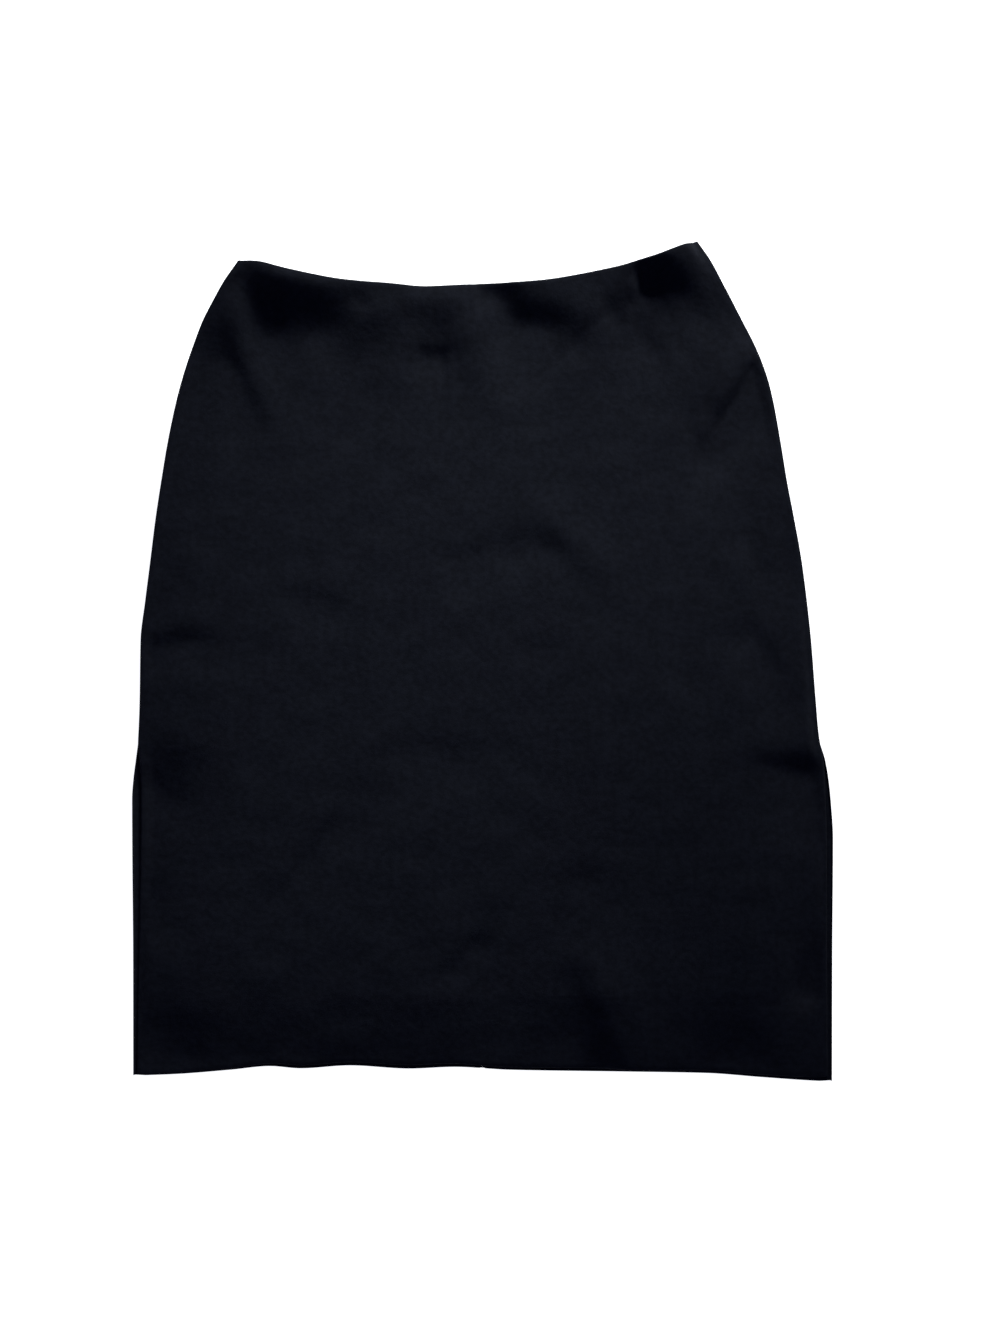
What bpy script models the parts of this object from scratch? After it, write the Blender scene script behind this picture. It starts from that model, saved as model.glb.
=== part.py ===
"""Pencil skirt laid flat on its back, waist towards +Y, front panel up.

Tables are in millimetres and the meshes in metres. The origin is the middle of the garment's
box on the surface that it lies on. The tube is two layers: a back in two halves with a
concealed zip down its centre seam, flat on the surface, and a front panel that lies over it,
held at the side seams down to the two slits.
"""
import math
from collections import namedtuple

import bmesh
import bpy
import numpy as np

MM = 0.001

# Driving sizes, in millimetres.
WALL = 1.5                 # the cloth
SEAM_GAP = 0.3             # between two pieces that are sewn together
EDGE_RADIUS = 2.0          # outer roundness of a side edge
HEM_TURN_UP = 52.0         # height of the hem allowance turned up inside
HEM_WALL = 2.1             # cloth with its hem allowance pressed against it
WAIST_TURN_IN = 9.0        # allowance turned in along the waist
WAIST_WALL = 2.1
ALLOWANCE_STEP = 4.0       # length over which the wall thins again past an allowance
SIDE_REACH = 75.0          # how far in from the side edge the front reaches its full loft
SIDE_FULLNESS = 2.2        # how soon it does: 1 is a straight slope, more is rounder
FOLD_HOLD = 12.0           # folds die out over this distance from a side edge
LEAST_LIFT = 0.6           # a trough's floor rests this far above the side edges' top
LIFT_SOFTNESS = 0.9        # how softly a trough meets that floor
BACK_WAIST_DROP = 1.5      # the back's waist edge lies this far below the front's

CORNER_LIFT = 8.0          # the waist's corners stand this far off the surface
CORNER_REACH = (92.0, 74.0)    # how far in, and how far down, a corner is lifted
EDGE_SETTLE = (-72.0, -92.0)   # below the slits' tops the free front edge sinks onto the back

ZIP_LENGTH = 200.0
ZIP_TOP_SPACE = 3.0        # tape ends this far below the back's waist edge
TAPE_WALL = 1.0
SLIDER_DROP = 9.0          # slider's middle below the back's waist edge
SLIDER_NOSE = 4.5          # from the slider's middle to its rounded upper end
SLIDER_TAIL = 4.5          # and to its narrower lower end
SLIDER_WIDTH = 7.6
SLIDER_TAIL_WIDTH = 5.4
SLIDER_HEIGHT = 2.8
SLOT_HALF_LENGTH = 5.5     # the centre seam opens over this length to let the bail through
SLOT_SPREAD = 0.8
BAIL_THICKNESS = 1.0
BAIL_LENGTH = 3.0
BAIL_ROOT = 1.0            # the bail reaches this far into the slider's body
PIN_RADIUS = 0.45
PIN_LENGTH = 5.0
PIN_HEIGHT = 1.2
EYE_RADIUS = 0.95
EYE_BORE = 0.6
EYE_WIDTH = 4.0
FORK_SLOT = 1.7            # width of the slot in the pull tab that clears the bail
FORK_DEPTH = 2.8           # how far that slot runs past the pin
PULL_LENGTH = 24.0
PULL_WIDTH = 6.0
PULL_NECK = 3.4
PULL_NECK_LENGTH = 7.0
PULL_THICKNESS = 1.0
TAB_POCKET = 2.6           # the back lifts this much over the pull tab that lies under it
POCKET_FLAT = (5.0, 30.0)  # half width, and length below the waist, of the lifted middle
POCKET_SLOPE = (14.0, 22.0)

FRONT_COLUMNS = 36
FRONT_ROWS = ((30, 0.80), (13, 0.20))    # rows and the share of the length that they fill
BACK_COLUMN_SHARES = (0.0, 0.1, 0.2, 0.32, 0.46, 0.66, 0.86)
BACK_CENTRE_STEPS = (24.0, 17.0, 11.0, 7.5, 4.0, 0.0)   # columns beside the centre seam
TAPE_COLUMNS = 4           # the columns nearest the seam, which the tape lies on
BACK_ROWS = ((26, 0.90), (14, 0.10))
ARC_ANGLES = (0.0, 45.0, 90.0)

# Sections of the garment from waist to hem: where the side edges of the back lie at each
# height, and how far the front's free edges lie inside them below the slits.
Section = namedtuple("Section", "place y left right front_in_left front_in_right")
SECTIONS = (
    Section("right waist corner", 315.3, -174.5, 160.9, 0.0, 0.0),
    Section("left waist corner", 301.0, -183.0, 171.0, 0.0, 0.0),
    Section("waist shaping", 286.8, -193.1, 179.0, 0.0, 0.0),
    Section("waist shaping", 271.8, -202.0, 187.4, 0.0, 0.0),
    Section("waist shaping", 256.8, -210.2, 195.5, 0.0, 0.0),
    Section("high hip", 241.8, -216.4, 203.4, 0.0, 0.0),
    Section("high hip", 226.8, -221.8, 209.9, 0.0, 0.0),
    Section("high hip", 211.8, -226.4, 215.0, 0.0, 0.0),
    Section("hip", 196.8, -230.3, 218.6, 0.0, 0.0),
    Section("hip", 166.8, -236.6, 224.0, 0.0, 0.0),
    Section("hip", 136.8, -241.6, 228.9, 0.0, 0.0),
    Section("thigh", 106.8, -246.1, 234.6, 0.0, 0.0),
    Section("thigh", 76.8, -249.8, 239.9, 0.0, 0.0),
    Section("thigh", 46.8, -253.6, 243.8, 0.0, 0.0),
    Section("left crease", 16.8, -257.1, 247.0, 0.0, 0.0),
    Section("thigh", -28.2, -257.8, 250.5, 0.0, 0.0),
    Section("slit top", -58.2, -259.0, 253.3, 0.0, 0.0),
    Section("slit", -73.2, -260.8, 257.7, 2.9, 1.4),
    Section("slit", -88.2, -262.7, 260.3, 5.4, 2.8),
    Section("slit", -103.2, -263.7, 261.9, 6.6, 3.8),
    Section("slit", -133.2, -263.6, 263.7, 6.4, 4.8),
    Section("slit", -223.2, -262.9, 263.1, 4.4, 3.9),
    Section("hem corners", -315.3, -262.8, 262.9, 2.9, 3.4),
)

# The waist edge of the front from corner to corner.
EdgePoint = namedtuple("EdgePoint", "x y")
WAIST = (
    EdgePoint(-183.0, 301.0),
    EdgePoint(-168.0, 299.3),
    EdgePoint(-147.0, 294.0),
    EdgePoint(-126.0, 289.6),
    EdgePoint(-105.0, 286.4),
    EdgePoint(-74.0, 283.9),
    EdgePoint(-42.0, 281.7),
    EdgePoint(-11.0, 283.0),
    EdgePoint(21.0, 284.1),
    EdgePoint(42.0, 285.6),
    EdgePoint(84.0, 292.3),
    EdgePoint(125.6, 301.9),
    EdgePoint(146.6, 309.6),
    EdgePoint(160.9, 315.3),
)

# The hem edge of the back, and how far the front's hem lies above it.
HemPoint = namedtuple("HemPoint", "x y front_rise")
HEM = (
    HemPoint(-262.8, -311.0, 0.8),
    HemPoint(-231.0, -309.8, 0.8),
    HemPoint(-189.0, -306.5, 1.6),
    HemPoint(-160.0, -303.8, 2.6),
    HemPoint(-137.0, -305.5, 3.0),
    HemPoint(-100.0, -303.3, 3.0),
    HemPoint(-55.0, -305.7, 3.2),
    HemPoint(-21.0, -304.4, 3.2),
    HemPoint(21.0, -306.6, 3.0),
    HemPoint(105.0, -307.9, 2.8),
    HemPoint(168.0, -309.0, 2.6),
    HemPoint(210.0, -312.1, 2.6),
    HemPoint(252.0, -314.9, 3.2),
    HemPoint(262.9, -315.3, 3.4),
)

# Height of the front above its side edges, by height along the garment.
Loft = namedtuple("Loft", "y height")
LOFT = (
    Loft(-315.0, 5.5),
    Loft(-240.0, 5.2),
    Loft(120.0, 5.2),
    Loft(225.0, 5.4),
    Loft(270.0, 6.2),
    Loft(315.0, 6.8),
)

# The main folds of the front. Each runs along a bent line and is a soft ridge (height above
# zero) or trough (below), with its own width to the left and to the right of that line. grow
# and die are the shares of its length over which it rises and fades; 0 lets it run on.
Fold = namedtuple("Fold", "place start bend end left_width right_width height grow die")
FOLDS = (
    Fold("dip below the left waist", (-166, 262), (-128, 246), (-66, 270), 20, 40, -3.2, 0.3, 0.5),
    Fold("ridge under the left corner", (-176, 262), (-164, 226), (-140, 190), 10, 14, 2.4, 0.3, 0.5),
    Fold("trough inside the left hip", (-192, 256), (-178, 204), (-124, 172), 10, 18, -3.0, 0.2, 0.6),
    Fold("trough left of the zip", (-68, 286), (-50, 250), (-20, 228), 13, 24, -1.6, 0.0, 0.3),
    Fold("ridge over the zip", (-17, 296), (-8, 230), (56, 158), 17, 22, 4.0, 0.0, 0.6),
    Fold("dip right of the zip", (2, 270), (46, 240), (104, 226), 19, 34, -4.0, 0.25, 0.5),
    Fold("trough right of centre", (80, 290), (100, 264), (88, 226), 20, 15, -1.4, 0.1, 0.5),
    Fold("dip below the right waist", (112, 270), (132, 256), (166, 268), 22, 34, -3.0, 0.3, 0.3),
    Fold("trough from the right edge", (211, 228), (184, 192), (156, 122), 11, 19, -3.4, 0.1, 0.6),
    Fold("arched trough, middle", (-30, 80), (30, 112), (88, 66), 15, 26, -3.0, 0.35, 0.35),
    Fold("ridge inside the arch", (72, 106), (90, 76), (126, 42), 12, 16, 2.4, 0.4, 0.5),
    Fold("trough across the left edge", (-262, 14), (-220, 36), (-174, 18), 9, 18, -2.6, 0.1, 0.5),
    Fold("small trough on the left", (-150, 42), (-114, 64), (-90, 34), 11, 18, -1.8, 0.3, 0.4),
    Fold("strain fold at the left slit", (-262, -92), (-232, -64), (-184, -66), 16, 24, -2.8, 0.2, 0.5),
    Fold("hollow beside the left slit", (-242, -116), (-232, -150), (-226, -190), 24, 24, -1.6, 0.4, 0.4),
    Fold("strain fold at the right slit", (190, -64), (226, -73), (262, -70), 8, 15, -3.2, 0.4, 0.0),
    Fold("trough above the right slit", (192, 28), (208, -4), (238, -28), 13, 20, -2.4, 0.4, 0.3),
    Fold("long arch", (-190, -212), (-50, 30), (48, -100), 16, 24, -1.7, 0.3, 0.4),
    Fold("slanting trough, lower middle", (62, -174), (14, -200), (-36, -232), 18, 13, -1.8, 0.4, 0.4),
    Fold("trough into the hem", (46, -248), (76, -272), (108, -312), 15, 26, -3.6, 0.5, 0.0),
    Fold("fall beside the right slit", (216, -242), (244, -247), (272, -240), 34, 12, -2.2, 0.4, 0.0),
    Fold("wave in the hem, left", (-150, -314), (-142, -284), (-120, -240), 18, 18, 1.8, 0.0, 0.6),
    Fold("wave in the hem, middle", (6, -314), (14, -284), (30, -240), 18, 18, 1.6, 0.0, 0.6),
)
FOLD_STEPS = 12            # swells along a fold
FOLD_OVERLAP = 1.6         # how far each swell reaches, in steps


def clear_scene():
    """Remove every object that the file opens with."""
    for thing in list(bpy.data.objects):
        bpy.data.objects.remove(thing, do_unlink=True)


def smooth_through(knots, values, at):
    """Value at each place on the smooth curve through the knots, with no overshoot."""
    knots = np.asarray(knots, dtype=float)
    values = np.asarray(values, dtype=float)
    order = np.argsort(knots)
    knots, values = knots[order], values[order]
    steps = np.diff(knots)
    slopes = np.diff(values) / steps
    tangents = np.zeros_like(values)
    tangents[0], tangents[-1] = slopes[0], slopes[-1]
    for i in range(1, len(knots) - 1):
        before, after = slopes[i - 1], slopes[i]
        if before * after > 0:
            near, far = 2 * steps[i] + steps[i - 1], steps[i] + 2 * steps[i - 1]
            tangents[i] = (near + far) / (near / before + far / after)
    at = np.clip(at, knots[0], knots[-1])
    i = np.clip(np.searchsorted(knots, at, side="right") - 1, 0, len(steps) - 1)
    t = (at - knots[i]) / steps[i]
    rise = (3 - 2 * t) * t * t
    bend_in = t * (1 - t) ** 2
    bend_out = t * t * (t - 1)
    straight = values[i] + (values[i + 1] - values[i]) * rise
    return straight + steps[i] * (tangents[i] * bend_in + tangents[i + 1] * bend_out)


def ease(t):
    """Soft step from 0 to 1."""
    t = np.clip(t, 0.0, 1.0)
    return t * t * (3 - 2 * t)


def column(rows, name):
    return [getattr(row, name) for row in rows]


def side_edges(y_left, y_right, front):
    """Left and right edge of the back, or of the front with its free edges further in."""
    heights = column(SECTIONS, "y")
    left = smooth_through(heights, column(SECTIONS, "left"), y_left)
    right = smooth_through(heights, column(SECTIONS, "right"), y_right)
    if front:
        left = left + smooth_through(heights, column(SECTIONS, "front_in_left"), y_left)
        right = right - smooth_through(heights, column(SECTIONS, "front_in_right"), y_right)
    return left, right


def waist_y(x):
    return smooth_through(column(WAIST, "x"), column(WAIST, "y"), x)


def hem_y(x, front):
    y = smooth_through(column(HEM, "x"), column(HEM, "y"), x)
    if front:
        y = y + smooth_through(column(HEM, "x"), column(HEM, "front_rise"), x)
    return y


def centre_x(y):
    """The centre-back seam runs from the middle of the waist to the middle of the hem."""
    waist_middle = (WAIST[0].x + WAIST[-1].x) / 2
    hem_middle = (HEM[0].x + HEM[-1].x) / 2
    share = (y - HEM[0].y) / (waist_y(waist_middle) - HEM[0].y)
    return hem_middle + (waist_middle - hem_middle) * share


def row_shares(groups):
    """Shares of the length for rows in evenly spaced groups, from hem to waist."""
    shares = [0.0]
    for count, part in groups:
        start = shares[-1]
        shares += [start + part * (i + 1) / count for i in range(count)]
    return np.array(shares) / shares[-1]


def plan(across, along, front):
    """Place on the panel: across from left edge to right, along from hem to waist."""
    y_left = HEM[0].y + (WAIST[0].y - HEM[0].y) * along
    y_right = HEM[-1].y + (WAIST[-1].y - HEM[-1].y) * along
    if front:
        y_left = y_left + HEM[0].front_rise * (1 - along)
        y_right = y_right + HEM[-1].front_rise * (1 - along)
    left, right = side_edges(y_left, y_right, front)
    x = left + (right - left) * across
    at_waist = WAIST[0].x + (WAIST[-1].x - WAIST[0].x) * across
    at_hem = HEM[0].x + (HEM[-1].x - HEM[0].x) * across
    top = waist_y(at_waist)
    if not front:
        top = top - BACK_WAIST_DROP * 4 * across * (1 - across)
    bottom = hem_y(at_hem, front)
    return x, bottom + (top - bottom) * along, left, right


def fold_height(x, y):
    """Sum of the folds, each a row of overlapping soft swells along its line."""
    total = np.zeros(x.shape)
    for fold in FOLDS:
        corners = np.array((fold.start, fold.bend, fold.end), dtype=float)
        for k in range(FOLD_STEPS):
            t = (k + 0.5) / FOLD_STEPS
            centre = np.array(((1 - t) ** 2, 2 * t * (1 - t), t * t)) @ corners
            run = np.array((-2 * (1 - t), 2 * (1 - 2 * t), 2 * t)) @ corners
            length = np.hypot(*run)
            reach = FOLD_OVERLAP * length / FOLD_STEPS
            along = ((x - centre[0]) * run[0] + (y - centre[1]) * run[1]) / length
            aside = (run[0] * (y - centre[1]) - run[1] * (x - centre[0])) / length
            width = np.where(aside > 0, fold.left_width, fold.right_width)
            strength = fold.height * length / FOLD_STEPS / (reach * math.sqrt(math.pi))
            if fold.grow:
                strength *= float(ease(t / fold.grow))
            if fold.die:
                strength *= float(ease((1 - t) / fold.die))
            total += strength * np.exp(-(aside / width) ** 2 - (along / reach) ** 2)
    return total


def corner_lift(x, y, left, right):
    """Both layers stand off the surface at the two waist corners."""
    inward = np.minimum(x - left, right - x) / CORNER_REACH[0]
    down = (waist_y(x) - y) / CORNER_REACH[1]
    return CORNER_LIFT * (1 - ease(inward)) * (1 - ease(down))


def front_lift(x, y, left, right):
    """Height of the front's outer face above the top of its rounded side edges."""
    inside = np.minimum(x - left, right - x) - EDGE_RADIUS
    share = np.clip(inside / SIDE_REACH, 0, 1)
    crown = 1 - (1 - share) ** SIDE_FULLNESS
    loft = smooth_through(column(LOFT, "y"), column(LOFT, "height"), y)
    hold = ease(inside / FOLD_HOLD)
    above = loft * crown + (fold_height(x, y) - LEAST_LIFT) * hold
    return LEAST_LIFT * hold + (above + np.hypot(above, LIFT_SOFTNESS)) / 2


def turned_wall(y, hem, waist, inside):
    """Wall thickness, with the allowances turned up at the hem and in at the waist."""
    away_from_seam = ease(inside / FOLD_HOLD)
    hem_share = ease((hem + HEM_TURN_UP - y) / ALLOWANCE_STEP + 1) * away_from_seam
    waist_share = ease((y - waist + WAIST_TURN_IN) / ALLOWANCE_STEP + 1) * away_from_seam
    return WALL + (HEM_WALL - WALL) * hem_share + (WAIST_WALL - WALL) * waist_share


def surface_normals(points):
    across = np.gradient(points, axis=1)
    along = np.gradient(points, axis=0)
    normals = np.cross(across, along)
    return normals / np.linalg.norm(normals, axis=2, keepdims=True)


def wall_object(name, outer, inner, material):
    """One closed wall between two grids of points, joined round their four edges."""
    rows, columns = outer.shape[:2]
    mesh = bpy.data.meshes.new(name)
    work = bmesh.new()
    sides = []
    for grid in (outer, inner):
        sides.append([[work.verts.new(grid[i, j] * MM) for j in range(columns)] for i in range(rows)])
    for side in sides:
        for i in range(rows - 1):
            for j in range(columns - 1):
                work.faces.new((side[i][j], side[i][j + 1], side[i + 1][j + 1], side[i + 1][j]))
    border = [(0, j) for j in range(columns)]
    border += [(i, columns - 1) for i in range(1, rows)]
    border += [(rows - 1, j) for j in range(columns - 2, -1, -1)]
    border += [(i, 0) for i in range(rows - 2, 0, -1)]
    for (i, j), (k, m) in zip(border, border[1:] + border[:1]):
        work.faces.new((sides[0][i][j], sides[0][k][m], sides[1][k][m], sides[1][i][j]))
    bmesh.ops.recalc_face_normals(work, faces=work.faces)
    work.to_mesh(mesh)
    work.free()
    mesh.shade_smooth()
    mesh.set_sharp_from_angle(angle=math.radians(40))
    mesh.materials.append(material)
    made = bpy.data.objects.new(name, mesh)
    bpy.context.scene.collection.objects.link(made)
    return made


def finish(name, colour, roughness, metallic=0.0):
    material = bpy.data.materials.new(name)
    material.use_nodes = True
    shader = material.node_tree.nodes["Principled BSDF"]
    shader.inputs["Base Color"].default_value = (*colour, 1.0)
    shader.inputs["Roughness"].default_value = roughness
    shader.inputs["Metallic"].default_value = metallic
    return material


def front_panel(material):
    """The front in one piece. Its side edges are rounded over on to the side seams."""
    along = row_shares(FRONT_ROWS)[:, None]
    arc = [math.radians(angle) for angle in ARC_ANGLES]
    middle = np.linspace(0, 1, FRONT_COLUMNS + 1)[1:-1]
    _, _, left, right = plan(np.array([[0.0]]), along, True)
    width = right - left
    places = [EDGE_RADIUS * (1 - math.cos(a)) / width for a in arc]
    places += [(EDGE_RADIUS + (width - 2 * EDGE_RADIUS) * m) / width for m in middle]
    places += [1 - EDGE_RADIUS * (1 - math.cos(a)) / width for a in reversed(arc)]
    across = np.hstack(places)
    x, y, left, right = plan(across, along, True)
    inside = np.minimum(x - left, right - x) - EDGE_RADIUS
    settled = ease((EDGE_SETTLE[0] - y) / (EDGE_SETTLE[0] - EDGE_SETTLE[1]))
    seam_level = EDGE_RADIUS + SEAM_GAP
    free_level = WALL + SEAM_GAP
    base = seam_level + (free_level - seam_level) * settled + corner_lift(x, y, left, right)
    z = base + EDGE_RADIUS + front_lift(x, y, left, right)
    columns = across.shape[1]
    for k, a in enumerate(arc):
        for j in (k, columns - 1 - k):
            z[:, j] = base[:, j] + EDGE_RADIUS * math.sin(a)
    outer = np.stack((x, y, z), axis=2)
    normals = surface_normals(outer)
    for k, a in enumerate(arc):
        normals[:, k] = (-math.cos(a), 0.0, math.sin(a))
        normals[:, columns - 1 - k] = (math.cos(a), 0.0, math.sin(a))
    wall = turned_wall(y, y[:1], y[-1:], inside)
    return wall_object("front_panel", outer, outer - normals * wall[:, :, None], material)


def pocket_lift(x, y):
    """How far the back is lifted by the pull tab that lies between it and the surface."""
    beside = np.abs(x - centre_x(y)) - POCKET_FLAT[0]
    below = (waist_y(x) - BACK_WAIST_DROP) - y - POCKET_FLAT[1]
    return TAB_POCKET * (1 - ease(beside / POCKET_SLOPE[0])) * (1 - ease(below / POCKET_SLOPE[1]))


def slider_y():
    return float(waist_y(centre_x(waist_y(0.0))) - BACK_WAIST_DROP - SLIDER_DROP)


def seam_half_gap(y):
    """Half the gap at the centre-back seam, wider where the slider's bail comes through."""
    near = 1 - np.clip(np.abs(y - slider_y()) / SLOT_HALF_LENGTH, 0, 1)
    return SEAM_GAP / 2 + SLOT_SPREAD * ease(near)


def back_grid(side):
    """Under and upper face of half the back; side is -1 for the left half, +1 for the right."""
    along = row_shares(BACK_ROWS)[:, None]
    arc = [math.radians(angle) for angle in ARC_ANGLES]
    _, y_centre, left, right = plan(np.full(along.shape, 0.5), along, False)
    width = right - left
    seam = centre_x(y_centre) + side * seam_half_gap(y_centre)
    edge = left if side < 0 else right
    span = np.abs(seam - edge)
    depths = [np.full(along.shape, EDGE_RADIUS * (1 - math.cos(a))) for a in arc]
    outer_share = span - BACK_CENTRE_STEPS[0] - EDGE_RADIUS
    depths += [EDGE_RADIUS + outer_share * share for share in BACK_COLUMN_SHARES[1:]]
    depths += [span - step for step in BACK_CENTRE_STEPS]
    x = edge - side * np.hstack(depths)
    x, y, left, right = plan((x - left) / width, along, False)
    base = corner_lift(x, y, left, right)
    z = base + pocket_lift(x, y)
    normals = np.zeros(x.shape + (3,))
    normals[:, :, 2] = -1.0
    for j, a in enumerate(arc):
        z[:, j] = base[:, j] + EDGE_RADIUS * (1 - math.sin(a))
        normals[:, j] = (side * math.cos(a), 0.0, -math.sin(a))
    under = np.stack((x, y, z), axis=2)
    inside = np.abs(x - edge) - EDGE_RADIUS
    wall = turned_wall(y, y[:1], y[-1:], inside)
    tape_strip = (np.abs(x - seam) < BACK_CENTRE_STEPS[0] + 1) & (y > 0)
    wall = np.where(tape_strip, WALL, wall)
    return under, under - normals * wall[:, :, None]


def back_half(name, side, material):
    """Half of the back, from its side edge to the centre seam."""
    under, upper = back_grid(side)
    return wall_object(name, under, upper, material)


def zip_tape(name, side, material):
    """Tape of the concealed zip, on the inside of the back along the centre seam."""
    _, upper = back_grid(side)
    seat = upper[:, -TAPE_COLUMNS:]
    top = slider_y() + SLIDER_DROP - ZIP_TOP_SPACE
    rows = (seat[:, -1, 1] < top) & (seat[:, -1, 1] > top - ZIP_LENGTH)
    low = seat[rows] + np.array((0.0, 0.0, SEAM_GAP))
    return wall_object(name, low, low + np.array((0.0, 0.0, TAPE_WALL)), material)


def block(name, size, centre, material=None):
    """A box of the given size, in millimetres."""
    mesh = bpy.data.meshes.new(name)
    work = bmesh.new()
    bmesh.ops.create_cube(work, size=1.0)
    bmesh.ops.scale(work, vec=[s * MM for s in size], verts=work.verts)
    bmesh.ops.translate(work, vec=[c * MM for c in centre], verts=work.verts)
    work.to_mesh(mesh)
    work.free()
    if material:
        mesh.materials.append(material)
    made = bpy.data.objects.new(name, mesh)
    bpy.context.scene.collection.objects.link(made)
    return made


def rod(name, radius, length, centre, sides=20):
    """A round bar along X."""
    mesh = bpy.data.meshes.new(name)
    work = bmesh.new()
    rings = []
    for end in (-length / 2, length / 2):
        turn = [2 * math.pi * i / sides for i in range(sides)]
        spots = [(centre[0] + end, centre[1] + radius * math.cos(t), centre[2] + radius * math.sin(t))
                 for t in turn]
        rings.append([work.verts.new([c * MM for c in spot]) for spot in spots])
    for i in range(sides):
        k = (i + 1) % sides
        work.faces.new((rings[0][i], rings[0][k], rings[1][k], rings[1][i]))
    work.faces.new(list(reversed(rings[0])))
    work.faces.new(rings[1])
    bmesh.ops.recalc_face_normals(work, faces=work.faces)
    work.to_mesh(mesh)
    work.free()
    made = bpy.data.objects.new(name, mesh)
    bpy.context.scene.collection.objects.link(made)
    return made


def arc_points(x, y, half_width, half_length, start, end, steps):
    """Points on part of an ellipse, counted from its +X end."""
    turns = [start + (end - start) * i / steps for i in range(steps + 1)]
    return [(x + half_width * math.cos(t), y + half_length * math.sin(t)) for t in turns]


def plate(name, outline, low, high, material):
    """A flat outline raised from one height to another."""
    mesh = bpy.data.meshes.new(name)
    work = bmesh.new()
    base = [work.verts.new((x * MM, y * MM, low * MM)) for x, y in outline]
    face = work.faces.new(base)
    raised = bmesh.ops.extrude_face_region(work, geom=[face])
    corners = [item for item in raised["geom"] if isinstance(item, bmesh.types.BMVert)]
    bmesh.ops.translate(work, vec=(0, 0, (high - low) * MM), verts=corners)
    bmesh.ops.recalc_face_normals(work, faces=work.faces)
    work.to_mesh(mesh)
    work.free()
    mesh.materials.append(material)
    made = bpy.data.objects.new(name, mesh)
    bpy.context.scene.collection.objects.link(made)
    return made


def combine(target, other, operation):
    """Union with, or difference by, another object, which is left as a hidden guide."""
    step = target.modifiers.new(operation.title(), "BOOLEAN")
    step.operation = operation
    step.solver = "EXACT"
    step.object = other
    other.hide_render = True
    other.display_type = "WIRE"


def zip_slider(material):
    """Slider on the coil side, with a bail through the seam and a cross pin for the tab."""
    y = slider_y()
    x = float(centre_x(y))
    seat = TAB_POCKET + WALL + TAPE_WALL + 2 * SEAM_GAP
    nose = arc_points(x, y, SLIDER_WIDTH / 2, SLIDER_NOSE, 0, math.pi, 8)
    tail = arc_points(x, y, SLIDER_TAIL_WIDTH / 2, SLIDER_TAIL, math.pi, 2 * math.pi, 6)
    body = plate("zip_slider", nose + tail, seat, seat + SLIDER_HEIGHT, material)
    bail_low, bail_high = PIN_HEIGHT - PIN_RADIUS / 2, seat + BAIL_ROOT
    bail_size = (BAIL_THICKNESS, BAIL_LENGTH, bail_high - bail_low)
    bail = block("bail_guide", bail_size, (x, y, (bail_low + bail_high) / 2))
    pin = rod("pin_guide", PIN_RADIUS, PIN_LENGTH, (x, y, PIN_HEIGHT))
    combine(body, bail, "UNION")
    combine(body, pin, "UNION")
    return body


def zip_pull(material):
    """Teardrop pull tab, lying under the back with its eye round the slider's cross pin."""
    y = slider_y()
    x = float(centre_x(y))
    low = PIN_HEIGHT - PULL_THICKNESS / 2
    end_radius = PULL_WIDTH / 2
    end_y = y - PULL_LENGTH + end_radius
    neck = PULL_NECK / 2
    outline = [(x - neck, y), (x - neck, y - PULL_NECK_LENGTH)]
    outline += arc_points(x, end_y, end_radius, end_radius, math.pi, 2 * math.pi, 10)
    outline += [(x + neck, y - PULL_NECK_LENGTH), (x + neck, y)]
    tab = plate("zip_pull", outline, low, low + PULL_THICKNESS, material)
    eye = rod("eye_guide", EYE_RADIUS, EYE_WIDTH, (x, y, PIN_HEIGHT))
    bore = rod("bore_guide", EYE_BORE, 2 * EYE_WIDTH, (x, y, PIN_HEIGHT))
    slot_length = FORK_DEPTH + 2 * EYE_RADIUS
    slot_middle = y + (slot_length / 2 - FORK_DEPTH)
    slot = block("slot_guide", (FORK_SLOT, slot_length, 4 * EYE_RADIUS), (x, slot_middle, PIN_HEIGHT))
    combine(tab, eye, "UNION")
    combine(tab, bore, "DIFFERENCE")
    combine(tab, slot, "DIFFERENCE")
    return tab


def build():
    clear_scene()
    front_panel(finish("front_cloth", (0.012, 0.013, 0.019), 0.85))
    for hand, side in (("left", -1), ("right", 1)):
        back_half(f"back_{hand}", side, finish(f"back_{hand}_cloth", (0.012, 0.013, 0.019), 0.85))
        zip_tape(f"zip_tape_{hand}", side, finish(f"zip_tape_{hand}_weave", (0.01, 0.01, 0.013), 0.9))
    zip_slider(finish("slider_lacquer", (0.012, 0.012, 0.014), 0.35, 0.6))
    zip_pull(finish("pull_lacquer", (0.012, 0.012, 0.014), 0.35, 0.6))


build()
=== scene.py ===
"""Pencil skirt laid flat on its back: its cloth, sewing, zip and the studio round it.

Sizes are in millimetres in the tables and in metres in the meshes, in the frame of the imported
model: waist towards +Y, front panel up, underside on the surface. The sections follow the
skirt as it is cut, sewn and laid down.
"""
import math
from collections import namedtuple

import bmesh
import bpy
import numpy as np
from mathutils import Matrix


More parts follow.
